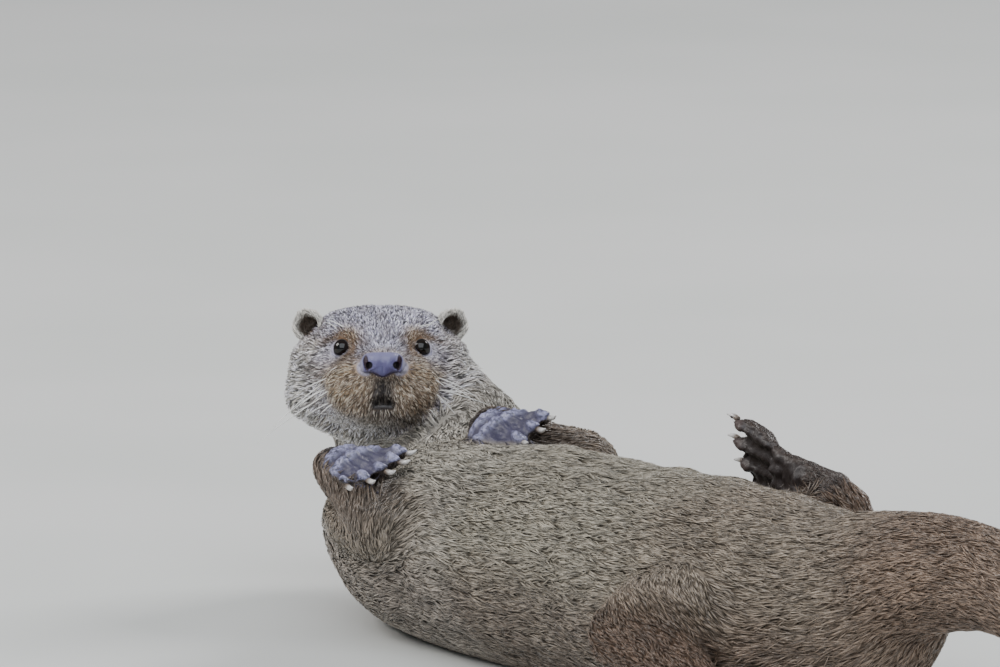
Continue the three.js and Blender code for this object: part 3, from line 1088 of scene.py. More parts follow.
@dataclass
class Skin:
    """One skin over all the flesh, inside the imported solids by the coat's depth, in millimetres.

    `weights` holds how much each point of `surface` belongs to each node.
    """

    voxel: float = 2.8
    swell: float = 0.25
    lowest: float = 0.4
    whorl: tuple = (6.0, 0.0, 6.0)
    crease_passes: int = 60
    fill: tuple = ("nose", "eye_left", "eye_right")
    surface: Surface = field(init=False)
    weights: Array = field(init=False)

    def __post_init__(self) -> None:
        """Builds the skin with its values for coat and markings, before the lids are added."""
        self.surface = self.wrapped()
        self.weights = self.shares()
        self.fair()
        self.fill_creases()
        self.surface = self.refined()
        self.weights = self.shares()
        self.mark()
        surface = self.surface
        inward = surface.normals() * (surface.values["depth"] * MM)[:, None]
        surface.points = surface.points - inward
        surface.points = averaged(surface, surface.points, 4, GENTLE)
        self.shape_body()
        self.shape_face()
        self.shape_paws()
        surface.points[:, 2] = np.maximum(surface.points[:, 2], self.lowest * MM)

    def wrapped(self) -> Surface:
        """The outside of all flesh as one closed mesh.

        Returns:
            The mesh, before it is smoothed.
        """
        whole = bmesh.new()
        for name in (*NAMES, *self.fill):
            part = bmesh.new()
            part.from_mesh(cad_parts[name].data)
            bmesh.ops.remove_doubles(part, verts=part.verts, dist=2e-5)
            part.verts.index_update()
            part.normal_update()
            moved = [v.co + v.normal * self.swell * MM for v in part.verts]
            made = [whole.verts.new(place) for place in moved]
            for face in part.faces:
                whole.faces.new([made[v.index] for v in face.verts])
            part.free()
        mesh = bpy.data.meshes.new("wrap")
        whole.to_mesh(mesh)
        whole.free()
        thing = linked("wrap", mesh)
        remesh = thing.modifiers.new("remesh", "REMESH")
        remesh.mode, remesh.voxel_size = "VOXEL", self.voxel * MM
        result = thing.evaluated_get(bpy.context.evaluated_depsgraph_get()).to_mesh()
        surface = self.arrays(result)
        bpy.data.objects.remove(thing)
        return surface

    @staticmethod
    def arrays(mesh: bpy.types.Mesh) -> Surface:
        """A Blender mesh as arrays.

        Args:
            mesh: any mesh.

        Returns:
            Its points and triangles.
        """
        mesh.calc_loop_triangles()
        points = np.zeros(len(mesh.vertices) * 3, np.float32)
        mesh.vertices.foreach_get("co", points)
        tris = np.zeros(len(mesh.loop_triangles) * 3, np.int32)
        mesh.loop_triangles.foreach_get("vertices", tris)
        return Surface(points.reshape(-1, 3).astype(float), tris.reshape(-1, 3))

    def shares(self) -> Array:
        """How much each point of the skin belongs to each node, with soft borders.

        Returns:
            A row for each point, with a column for each node.
        """
        points, tris, owner = [], [], []
        total = 0
        for index, name in enumerate(NAMES):
            part = self.arrays(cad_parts[name].data)
            points.append(part.points)
            tris.append(part.tris + total)
            owner += [index] * len(part.tris)
            total += part.count
        tree = BVHTree.FromPolygons(np.concatenate(points).tolist(), np.concatenate(tris).tolist())
        nearest = np.array([owner[tree.find_nearest(p)[2]] for p in self.surface.points.tolist()])
        return averaged(self.surface, np.eye(len(NAMES))[nearest], 14)

    def fair(self) -> None:
        """Smooths the facets away, less on the paws."""
        surface = self.surface
        paws = share_of(self.weights, *PAW_NODES)
        full = averaged(surface, surface.points, 70, STRONG)
        light = averaged(surface, surface.points, 12, GENTLE)
        surface.points = lerp(full, light, smooth(0.2, 0.8, paws)[:, None])

    def fill_creases(self) -> None:
        """Fills the creases where limbs and neck meet the trunk, and leaves paws and face as they are."""
        surface = self.surface
        share = 0.5 * smooth(0.45, 0.1, share_of(self.weights, *PAW_NODES, *HEAD_NODES))
        for _ in range(self.crease_passes):
            normals = surface.normals()
            pull = averaged(surface, surface.points, 1, 1.0) - surface.points
            inward = np.maximum((pull * normals).sum(1), 0)
            surface.points = surface.points + normals * (inward * share)[:, None]

    def refined(self) -> Surface:
        """The skin with finer faces on the head and paws, and finest round eyes, nose and mouth.

        Returns:
            The finer skin.
        """
        bm = bmesh.new()
        made = [bm.verts.new(p) for p in self.surface.points.tolist()]
        for tri in self.surface.tris.tolist():
            bm.faces.new([made[i] for i in tri])
        bm.verts.index_update()
        for finest in (False, True):
            points = np.array([v.co for v in bm.verts])
            x, y, z = HEAD.local(points).T
            if finest:
                chosen = (x > -48) & (abs(y) < 38) & (z > -40) & (z < 24)
            else:
                chosen = (x > -100) & (abs(y) < 62) & (abs(z) < 60)
                for node in PAW_NODES:
                    low, high = (np.array(corner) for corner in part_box(node))
                    chosen |= ((points > low - 4 * MM) & (points < high + 4 * MM)).all(1)
            chosen = chosen.tolist()
            edges = [e for e in bm.edges if chosen[e.verts[0].index] and chosen[e.verts[1].index]]
            bmesh.ops.subdivide_edges(bm, edges=edges, cuts=1, use_grid_fill=True)
            bmesh.ops.triangulate(bm, faces=[f for f in bm.faces if len(f.verts) > 3])
            bm.verts.index_update()
        mesh = bpy.data.meshes.new("fine")
        bm.to_mesh(mesh)
        bm.free()
        fine = self.arrays(mesh)
        bpy.data.meshes.remove(mesh)
        fine.points = averaged(fine, fine.points, 6, GENTLE)
        return fine

    def mark(self) -> None:
        """Sets the coat's sizes and the markings at every point."""
        surface, weights = self.surface, self.weights
        total = weights.sum(1)
        for key in FIELDS:
            column = np.array([getattr(REGIONS[n], key) for n in NAMES])
            surface.values[key] = weights @ column / total
        for key in MARKS:
            column = np.array([dict(REGIONS[n].marks).get(key, 0.0) for n in NAMES])
            surface.values[key] = weights @ column / total
        soft = averaged(surface, np.stack([surface.values[key] for key in ("belly", "tail")], 1), 160, 0.9)
        surface.values["belly"], surface.values["tail"] = soft.T
        surface.values["bare"] = np.zeros(surface.count)
        surface.values["lie"] = self.lie()
        self.mark_face()
        self.mark_paws()
        self.mark_body()
        low = smooth(1.0, 14.0, surface.points[:, 2] / MM)
        surface.values["depth"] = surface.values["depth"] * (0.15 + 0.85 * low)

    def lie(self) -> Array:
        """The way the hair lies at every point, as unit vectors along the skin.

        Returns:
            One unit vector for each point.
        """
        surface, weights = self.surface, self.weights
        ways = []
        for name in NAMES:
            region = REGIONS[name]
            if region.towards:
                way = centre(region.towards) - centre(name)
            else:
                source = next(n for n in NAMES if REGIONS[n].towards == name)
                way = centre(name) - centre(source)
            ways.append(np.array(way.normalized()))
        flow = weights @ np.array(ways)
        trunk = share_of(weights, *HEAD_NODES, *TRUNK_NODES, "tail_root", "tail_middle", "tail_tip")
        flow = lerp(flow, Spine().flow(surface.points), smooth(0.35, 0.75, trunk)[:, None])
        for paw in PAWS:
            share = share_of(weights, paw.node)[:, None]
            flow = lerp(flow, paw.axes()[0], np.clip(share * 1.3, 0, 1))
        head = share_of(weights, *HEAD_NODES)
        local = HEAD.local(surface.points)
        normals = surface.normals()
        radial = HEAD.way(unit(local - np.array(self.whorl)))
        stray = smooth(26, 46, abs(local[:, 1])) * smooth(24, 8, local[:, 2])
        sway = Waves(11 * MM, 41)(surface.points) * (0.05 + 0.47 * stray)
        radial = radial + np.cross(normals, radial) * sway[:, None]
        flow = lerp(flow, radial, (smooth(0.25, 0.75, head) * smooth(-100, -72, local[:, 0]))[:, None])
        flow = flow - normals * (flow * normals).sum(1, keepdims=True)
        near = unit(averaged(surface, unit(flow), 8))
        far = unit(averaged(surface, near, 40))
        fine = share_of(weights, *HEAD_NODES, *PAW_NODES)
        return unit(lerp(far, near, smooth(0.1, 0.5, fine)[:, None]))

    def mark_face(self) -> None:
        """Sets the coat's sizes and the markings of the head."""
        surface, weights = self.surface, self.weights
        values = surface.values
        head = smooth(0.15, 0.7, share_of(weights, *HEAD_NODES))
        x, y, z = HEAD.local(surface.points).T
        side = abs(y)
        reach = np.sqrt(x**2 + y**2 + z**2)
        crown = smooth(4, 22, z) * smooth(-12, -30, x)
        steps = (8, 20, 38, 60, 100, 130)
        face = {
            "length": np.interp(reach, steps, (1.8, 4.8, 7.6, 8.6, 11.0, 13.0)),
            "width": np.interp(reach, steps, (0.34, 0.42, 0.56, 0.84, 1.15, 1.2)),
            "spacing": np.interp(reach, steps, (0.62, 0.70, 0.82, 1.05, 1.45, 1.8)),
            "depth": np.interp(reach, steps, (0.5, 0.8, 1.4, 2.6, 3.4, 3.6)),
        }
        eye_x, eye_y, eye_z = HEAD.eye
        off_eye = np.sqrt((x - eye_x - 5) ** 2 + (side - eye_y - 1) ** 2 + (z - eye_z) ** 2)
        finer = (
            (crown, {"length": 0.46, "width": 0.86, "spacing": 0.78, "depth": 0.7}),
            (smooth(14, 7, off_eye), {"length": 0.42, "width": 0.62, "spacing": 0.72, "depth": 0.35}),
        )
        for where, factors in finer:
            for key, factor in factors.items():
                face[key] = face[key] * lerp(1.0, factor, where)
        for key, value in face.items():
            values[key] = lerp(values[key], value, head)
        cloud = Waves(14 * MM, 21)(surface.points)
        cheek = smooth(28, 44, side) * smooth(26, 6, z) + smooth(-50, -72, x) * smooth(12, -4, z)
        bridge = smooth(15, 9, side) * smooth(6, 12, reach) * smooth(26, 14, reach)
        muzzle = smooth(50, 34, reach) * smooth(5, -5, z) + 0.5 * bridge
        under_eye = bell(z - 5.3 + 0.8 * (side - 19.9), 2.3) * smooth(-64, -46, x)
        under_eye = under_eye * smooth(16.5, 19.5, side) * smooth(38, 31, side)
        warm = muzzle + 0.3 * under_eye + sum(patch.at(x, side, z) for patch in WARM_PATCHES)
        rust = 0.75 * under_eye + sum(patch.at(x, side, z) for patch in RUST_PATCHES)
        chin = smooth(-25, -30, z)
        under_nose = 0.4 * smooth(14, 9, side) * smooth(-3.5, -5.5, z) * smooth(-13, -8, z)
        under_nose += 0.97 * bell(y, 6.8) * smooth(-6.5, -12, z) * smooth(-27, -18, z)
        under_nose = np.clip(under_nose, 0, 1) * smooth(-34, -18, x)
        wing = smooth(6.3, 4.7, np.hypot(side - 9.8, 1.05 * (z + 1.6))) * smooth(6.5, 8.5, side)
        wing = wing * smooth(-20, -16, x)
        centre_line = bell(y, 4.5) * smooth(-12, -17, z) * smooth(-30, -20, x) * smooth(-30, -25, z)
        lip = bell(off_mouth(side, z) + 1.7, 4.2) * smooth(9.5, 5, side) * smooth(-60, -48, x)
        curls, curled = curl_waves(surface.points, x, side, z)
        partings = bell(curls, 0.16) * curled
        plain = (1 - 0.85 * np.clip(rust, 0, 1)) * (1 - 0.6 * np.clip(warm, 0, 1)) * (1 - 0.9 * under_nose)
        temple = smooth(24, 44, side) * smooth(6, 20, z)
        marks = {
            "crown": plain * smooth(-114, -66, x) * np.clip(0.86 + 0.3 * cloud - 0.35 * temple, 0, 1),
            "belly": np.clip(0.65 * chin + 0.25 * smooth(16, -4, z) * smooth(-20, -40, x), 0, 1),
            "tail": 0.8 * partings,
            "pale": np.clip(cheek * (0.92 + 0.30 * cloud) * (1 - 0.8 * partings), 0, 1),
            "warm": (
                np.clip(warm * (0.72 + 0.12 * cloud), 0, 0.95) * (1 - 0.8 * chin) * (1 - 0.85 * under_nose)
            ),
            # Painted pale reflection below and behind each eye and on the nose's wings.
            "lilac": PAINTED_SHEEN_PATCH.at(x, side, z) + 0.45 * wing,
            "rust": np.clip(rust, 0, 1) * 0.90,
            "dark": np.clip(under_nose + 0.6 * centre_line + 0.95 * lip, 0, 1),
            "naked": 0.6 * wing,
        }
        values["bare"] = np.maximum(values["bare"], wing)
        for key in MARKS:
            values[key] = lerp(values[key], marks.get(key, 0.0), head)

    def mark_paws(self) -> None:
        """Marks the bare skin and the pads under the paws."""
        surface, weights = self.surface, self.weights
        values = surface.values
        normals = surface.normals()
        for paw in PAWS:
            local = paw.local(surface.points)
            sole = paw.sole(local, normals) * smooth(0.25, 0.6, share_of(weights, paw.node))
            pads = paw.pads(local, palm=not paw.hind) * sole
            bare = sole * smooth(paw.form.root * 0.28, paw.form.root * 0.44, local[:, 0])
            values["bare"] = np.maximum(values["bare"], bare)
            values["depth"] = lerp(values["depth"], 0.3, bare)
            ground, raised = ("dark", "pad") if paw.hind else ("plum", "naked")
            values[ground] = np.maximum(values[ground], bare)
            values[raised] = np.maximum(values[raised], pads)

    def mark_body(self) -> None:
        """Darkens the back and flanks, which lie towards the floor."""
        surface, weights = self.surface, self.weights
        values = surface.values
        trunk = share_of(weights, *TRUNK_NODES)
        x, _, z = HEAD.local(surface.points).T
        nape = smooth(-84, -108, x) * smooth(-34, -4, z) * smooth(0.2, 0.6, trunk)
        for key in ("pale", "belly"):
            values[key] = values[key] * (1 - 0.85 * nape)
        low = smooth(86, 40, surface.points[:, 2] / MM)
        values["belly"] = values["belly"] * (1 - low * 0.75 * np.clip(trunk, 0, 1))
        cloud = Waves(0.05, 3)(surface.points)
        values["belly"] = np.clip(values["belly"] + 0.07 * cloud * np.clip(trunk, 0, 1), 0, 1)

    def shape_face(self) -> None:
        """Sculpts the lips, whisker pads, brows, cheeks and folds of the face."""
        surface = self.surface
        x, y, z = HEAD.local(surface.points).T
        side = abs(y)
        front = smooth(-60, -48, x)
        rise = np.zeros(surface.count)
        pad = np.sqrt(((x + 17) / 15) ** 2 + ((side - 16) / 13) ** 2 + ((z + 15) / 10) ** 2)
        rise += 2.4 * np.clip(1 - pad**2, 0, 1) ** 1.5
        rise -= 0.8 * bell(y, 1.5) * smooth(-7, -9, z) * smooth(-25, -20, z) * smooth(-14, -8, x)
        mouth = off_mouth(side, z)
        rise -= 4.5 * bell(side, 5.4) * bell(mouth, 1.7) * front
        rise += 0.5 * bell(mouth - 3.8, 2.0) * smooth(30, 18, side) * front
        rise -= 0.7 * bell(y, 4.0) * smooth(20, 28, z) * smooth(-100, -70, x)
        rise += sum(swell.at(x, side, z) for swell in FACE_SWELLS)
        curls, curled = curl_waves(surface.points, x, side, z)
        rise += 0.55 * np.abs(curls) * curled
        under_nose = np.sqrt(((x + 6.5) / 9.5) ** 2 + (y / 14.5) ** 2 + (z / 9.5) ** 2)
        rise -= 2.2 * smooth(1.02, 0.8, under_nose) * smooth(-7.5, -4.0, z)
        surface.values["black"] = np.maximum(
            surface.values["black"],
            0.97 * bell(mouth + 0.6, 2.4) * smooth(7.6, 4.2, side) * front,
        )
        surface.points = surface.points + surface.normals() * (rise * MM)[:, None]
        local = HEAD.local(surface.points)
        x, y, z = local.T
        off_nose = np.hypot(y / 12.4, z / np.where(z > 0, 7.6, 5.0))
        behind = smooth(1.0, 0.86, off_nose) * smooth(-14, -9, x)
        local[:, 0] = lerp(x, np.minimum(x, -9.0), behind)
        surface.points = HEAD.place(local)

    def shape_paws(self) -> None:
        """Raises the pads and creases the skin between them."""
        surface, weights = self.surface, self.weights
        normals = surface.normals()
        rise = np.zeros(surface.count)
        for paw in PAWS:
            local = paw.local(surface.points)
            own = smooth(0.25, 0.6, share_of(weights, paw.node))
            sole = paw.sole(local, normals) * own
            rise += (1.9 * paw.pads(local) - 0.7) * sole
            own = own * smooth(0.2, 0.6, abs(normals @ paw.axes()[2]))
            reach = smooth(paw.form.root * 0.7, paw.form.root * 1.1, local[:, 0])
            rise += (2.0 * paw.toes(local) - 0.9) * own * reach
            rise += 0.35 * Waves(4.5 * MM, 51)(surface.points) * sole
        surface.points = surface.points + normals * (rise * MM)[:, None]

    def shape_body(self) -> None:
        """Gives the trunk the soft unevenness of a resting body."""
        surface, weights = self.surface, self.weights
        trunk = np.clip(share_of(weights, *TRUNK_NODES), 0, 1)
        _, y, z = surface.points.T / MM
        rise = 1.6 * Waves(95 * MM, 31)(surface.points) + 0.8 * Waves(38 * MM, 32)(surface.points)
        rise -= 1.8 * bell(y + 18, 9) * smooth(100, 120, z)
        rise = rise * trunk * smooth(4, 24, z)
        surface.points = surface.points + surface.normals() * (np.clip(rise, -4, 2.2) * MM)[:, None]


# ---- Eyes and lids.


@dataclass(frozen=True)
class Eye:
    """An eyeball and the lids that frame it, in the head's millimetres."""

    side: Side
    radius: float = 6.5
    half_width: float = 3.9
    half_height: float = 4.7
    tilt: float = 0.38
    lid: float = 0.45
    inner_corner: float = math.radians(188)
    outer_corner: float = math.radians(-40)
    ball_round: int = 48
    lid_round: int = 96

    def middle(self) -> Array:
        """The eyeball's middle."""
        x, y, z = HEAD.eye
        return np.array([x, self.side * (y - 0.6), z])

    def axes(self) -> Array:
        """Outwards, upwards and along the gaze.

        Returns:
            One unit vector in each row, in the head's frame.
        """
        gaze = unit(np.array([0.96, self.side * 0.20, 0.16]))
        out = unit(np.cross([0, 0, 1.0], gaze)) * self.side
        return np.array([out, np.cross(gaze, out) * self.side, gaze])

    def ball(self) -> Surface:
        """The eyeball with its clear bulge, its pole along the gaze.

        Returns:
            The eyeball, with each point's angle from the gaze as `reach`.
        """
        polar = np.linspace(0.02, math.pi * 0.85, 40)[:, None]
        turn = circle(self.ball_round)[None, :]
        reach = self.radius + 0.35 * bell(polar, 0.55)
        flat = np.stack(np.broadcast_arrays(
            reach * np.sin(polar) * np.cos(turn),
            reach * np.sin(polar) * np.sin(turn),
            reach * np.cos(polar),
        ), -1)
        surface = rings(HEAD.place(self.middle() + flat @ self.axes())).outward()
        surface.values["reach"] = np.repeat(polar.ravel(), self.ball_round)
        return surface

    def outline(self, turn: Array) -> Array:
        """The radius of the lids' opening in each direction, with its two corners.

        Args:
            turn: directions round the gaze, in radians.

        Returns:
            The radius in millimetres.
        """
        leant = turn - self.tilt
        ellipse = 1 / np.hypot(np.cos(leant) / self.half_width, np.sin(leant) / self.half_height)
        inner = bell(apart(turn, self.inner_corner), 0.28)
        outer = bell(apart(turn, self.outer_corner), 0.35)
        return ellipse * (1 + 0.16 * inner + 0.08 * outer)

    def lids(self, skin: Surface) -> Surface:
        """Both lids as a ring from their wet rims out into the skin.

        Args:
            skin: the skin they run into.

        Returns:
            The ring.
        """
        tree = skin.tree()
        turn = circle(self.lid_round)
        edge = self.outline(turn)
        lower = smooth(0.1, -0.5, np.sin(turn))
        corner = bell(apart(turn, self.inner_corner), 0.45)
        whole = np.ones(self.lid_round)
        lid = self.lid
        # Each step outwards: its share of the opening, its thickness, and how far it joins the skin.
        steps = (
            (0.96, -0.25, 0.0), (1.0, 0.10, 0.0), (1.04, lid, 0.0), (1.10, lid + 0.1, 0.0),
            (1.17, lid, 0.05), (1.25, lid - 0.15, 0.25), (1.35, lid, 0.6), (1.48, lid * 0.5, 0.9),
            (1.62, 0.1, 1.0), (1.76, -0.7, 1.0),
        )
        out, up, gaze = self.axes()
        rows = []
        added: dict[str, list[Array]] = {"naked": [], "black": [], "lilac": [], "rust": [], "bare": []}
        for factor, thick, to_skin in steps:
            across, above = edge * factor * np.cos(turn), edge * factor * np.sin(turn)
            spread = np.hypot(across, above)
            inside = np.minimum(spread, self.radius * 0.97)
            on_ball = np.sqrt(self.radius**2 - inside**2) - (spread - inside) * 0.8
            flat = self.middle() + across[:, None] * out + above[:, None] * up
            on_skin = np.array([self.depth(tree, place, gaze) for place in flat])
            high = lerp(on_ball, np.maximum(on_skin, on_ball - 1.5), to_skin) + thick
            rows.append(flat + high[:, None] * gaze)
            rim = smooth(1.16, 1.05, factor) * (1 - 0.15 * lower)
            added["black"].append(rim * (1 - 0.9 * corner * smooth(1.0, 1.06, factor)))
            added["rust"].append(corner * smooth(1.4, 1.15, factor))
            # Below the opening: a painted pale reflection on the wet lower lid next to the rim, and a band
            # of bare skin outside it.
            added["naked"].append(0.7 * bell(factor - 1.36, 0.05) * lower)
            added["lilac"].append(0.9 * bell(factor - 1.22, 0.09) * lower)
            added["bare"].append(smooth(1.32, 1.18, factor) * whole)
        ring = rings(HEAD.place(np.array(rows)), capped=False).outward(HEAD.way(gaze))
        nearest = skin.tris[[tree.find_nearest(p)[2] for p in ring.points.tolist()], 0]
        ring.values = {key: value[nearest] for key, value in skin.values.items()}
        ring.values["bare"] = np.concatenate(added.pop("bare"))
        for key, more in added.items():
            ring.values[key] = np.clip(ring.values[key] + np.concatenate(more), 0, 1)
        return ring

    @staticmethod
    def depth(tree: BVHTree, place: Array, gaze: Array) -> float:
        """How far the skin lies along the gaze from a place in the plane of the eyeball's middle.

        Args:
            tree: the skin.
            place: the place, in the head's frame.
            gaze: the way the eye looks.

        Returns:
            Millimetres along the gaze.
        """
        outside = 25
        start = Vector(HEAD.place(place + gaze * outside))
        hit = tree.ray_cast(start, Vector(-HEAD.way(gaze)))
        return outside - hit[3] / MM if hit[0] is not None else 0.0

    def socket(self, skin: Surface) -> None:
        """Sinks the skin behind the eyeball and the lids.

        Args:
            skin: the skin, which is changed.
        """
        local = HEAD.local(skin.points) - self.middle()
        out, up, gaze = self.axes()
        across, above, along = local @ out, local @ up, local @ gaze
        away = np.hypot(across, above) / self.outline(np.arctan2(above, across))
        near = smooth(-8, -2, along)
        share = smooth(1.66, 1.40, away) * near
        moved = local + gaze * ((np.minimum(along, -1.5) - along) * share)[:, None]
        skin.points = HEAD.place(moved + self.middle())
        skin.values["bare"] = np.maximum(skin.values["bare"], smooth(1.64, 1.58, away) * near)


# ---- The nose leather.


@dataclass(frozen=True)
class Nose:
    """The naked nose, a broad shield with two comma-shaped nostrils, in the head's millimetres."""

    middle: tuple = (-6.5, 0.0, 0.0)
    half: tuple = (7.6, 12.9, 7.9)
    power: tuple = (0.62, 0.86, 0.86)
    deep: int = 110
    round: int = 200

    def build(self) -> Surface:
        """The nose as a closed surface with its pits and rims marked.

        Returns:
            The nose with `pit`, `groove` and `rim` from 0 to 1.
        """
        polar = np.linspace(0.01, math.pi - 0.01, self.deep)[:, None]
        turn = circle(self.round)[None, :]
        ball = np.stack(np.broadcast_arrays(
            np.cos(polar),
            np.sin(polar) * np.cos(turn),
            np.sin(polar) * np.sin(turn),
        ), -1)
        angle = np.arctan2(ball[..., 2], ball[..., 1])
        low, high = apart(angle, -math.pi / 2), apart(angle, math.pi / 2)
        outline = 1 + 0.03 * bell(low, 0.20) - 0.09 * bell(high, 0.45) + 0.08 * bell(high - 0.85, 0.3)
        drop = 1 - 0.33 * bell(low - 0.55, 0.36)
        shape = np.sign(ball) * np.abs(ball) ** np.array(self.power) * np.array(self.half)
        shape = shape * np.stack([np.ones_like(outline), outline, outline * drop], -1)
        x, y, z = np.moveaxis(shape, -1, 0)
        side = np.abs(y)
        front = smooth(0.0, 2.5, x)
        hole = np.hypot((side - 7.8) / 1.9, (z + 0.5) / 2.1)
        slit = np.hypot((side - 9.5 - 0.16 * z) / 1.55, (z - 0.8) / 4.7)
        pit = smooth(1.15, 0.75, hole) * front
        groove = smooth(1.15, 0.80, slit) * front
        rim = bell(slit - 1.25, 0.18) * front
        wing = smooth(11.0, 12.2, side - 0.16 * z) * front
        sink = 1.1 * groove + 3.4 * pit - 0.35 * rim
        sink = sink + 0.6 * bell(y, 0.8) * smooth(1.0, -4.0, z) * front
        sink = sink - 0.6 * bell(side - 3.8, 2.6) * bell(z - 1, 4) * front
        x = x - sink - 0.10 * side * smooth(4, 12, side)
        y = y * (1 - 0.07 * smooth(1.5, 7.0, z))
        surface = rings(HEAD.place(np.stack([x, y, z], -1) + np.array(self.middle))).outward()
        surface.values["pit"] = pit.ravel()
        edge = bell(z + 4.9 + 2.4 * bell(side, 3.2), 0.8) * smooth(11.5, 8.5, side) * front
        surface.values["groove"] = np.clip(groove + 0.8 * edge, 0, 1).ravel()
        # Paler round the slits and on the wings, and paler towards the top as a painted highlight.
        pale = 0.15 * rim + 0.9 * wing * smooth(6.0, 1, z) + 0.3 * smooth(0.5, 6.0, z)
        surface.values["rim"] = np.clip(pale, 0, 1).ravel()
        return surface


# ---- Ears.


@dataclass(frozen=True)
class Ear:
    """A small round ear: a furred back, a thick rim and a dark bowl, in its own millimetres."""

    side: Side
    place: tuple = (-85.0, 41.5, 21.6)
    lean: float = -0.42
    turn: float = 0.35
    half_width: float = 8.9
    half_height: float = 9.8
    steps: int = 50
    round: int = 72

    def axes(self) -> Array:
        """Ahead, left and up of the ear, in the head's frame.

        Returns:
            One unit vector in each row.
        """
        leant = Matrix.Rotation(self.side * self.lean, 3, "X")
        turned = Matrix.Rotation(self.side * self.turn, 3, "Z")
        return np.array((leant @ turned).transposed())

    def build(self) -> Surface:
        """The ear as a cup from the outside of its base over the rim into the bowl.

        Returns:
            The ear with its values for coat and markings.
        """
        profile = np.array([
            (0.02, -5.4), (0.62, -4.9), (0.85, -3.7), (0.97, -1.9), (1.0, 0.0), (0.985, 1.6),
            (0.93, 2.5), (0.84, 2.4), (0.74, 1.3), (0.64, -0.4), (0.50, -1.9), (0.32, -2.8), (0.02, -3.1),
        ])
        steps = np.linspace(0, len(profile) - 1, self.steps)
        share, depth = (np.interp(steps, np.arange(len(profile)), column)[:, None] for column in profile.T)
        turn = circle(self.round)[None, :]
        out = self.side * np.cos(turn)
        wave = 1 + 0.03 * np.sin(3 * turn + 0.7) + 0.02 * np.sin(5 * turn)
        order = np.arange(self.steps)
        inner = smooth(30, 40, order)[:, None]
        fold = 1.6 * bell(apart(turn, -2.2), 0.45) * bell(share - 0.62, 0.22)
        fold = fold * smooth(24, 30, order)[:, None]
        across = self.half_width * share * out * wave
        above = self.half_height * share * np.sin(turn) * wave
        ahead = depth + fold - 1.2 * (1 - np.sin(turn)) * 0.5 * inner
        local = np.stack(np.broadcast_arrays(ahead, across, above), -1)
        surface = rings(local)
        surface.points = averaged(surface, surface.points, 3, (0.5, -0.45))
        surface.points = HEAD.place(surface.points @ self.axes() + self.middle())
        surface = surface.outward()
        bowl = np.repeat(smooth(33, 39, order), self.round)
        rim = np.repeat(smooth(39, 33, order) * smooth(8, 14, order), self.round)
        leaning = np.repeat(smooth(20, 30, order), self.round)
        ones = np.ones(surface.count)
        surface.values.update(
            pale=rim, dark=0.55 * bowl, belly=0.5 * ones, rust=0.35 * bowl,
            length=lerp(3.8, 5.0, leaning), width=lerp(0.55, 0.5, bowl), spacing=lerp(0.7, 1.1, bowl),
        )
        for key in MARKS:
            surface.values.setdefault(key, 0 * ones)
        outward = unit(np.array([-0.25, self.side * 0.35, 0.9]))
        inward = unit(np.array([0.5, -self.side * 0.3, 0.6]))
        way = HEAD.way(lerp(outward, inward, leaning[:, None]) @ self.axes())
        normals = surface.normals()
        surface.values["lie"] = unit(way - normals * (way * normals).sum(1, keepdims=True) * 0.85)
        return surface

    def middle(self) -> Array:
        """The ear's middle in the head's frame."""
        x, y, z = self.place
        return np.array([x, self.side * y, z])


# ---- The coat: locks of wet hair, each a thin pointed solid.


@dataclass
class Roots:
    """Where locks grow: places, normals, triangles and the values of the skin there."""

    points: Array
    normals: Array
    values: dict[str, Array]

    def pick(self, chosen: Array) -> "Roots":
        """Some of the roots."""
        values = {key: value[chosen] for key, value in self.values.items()}
        return Roots(self.points[chosen], self.normals[chosen], values)


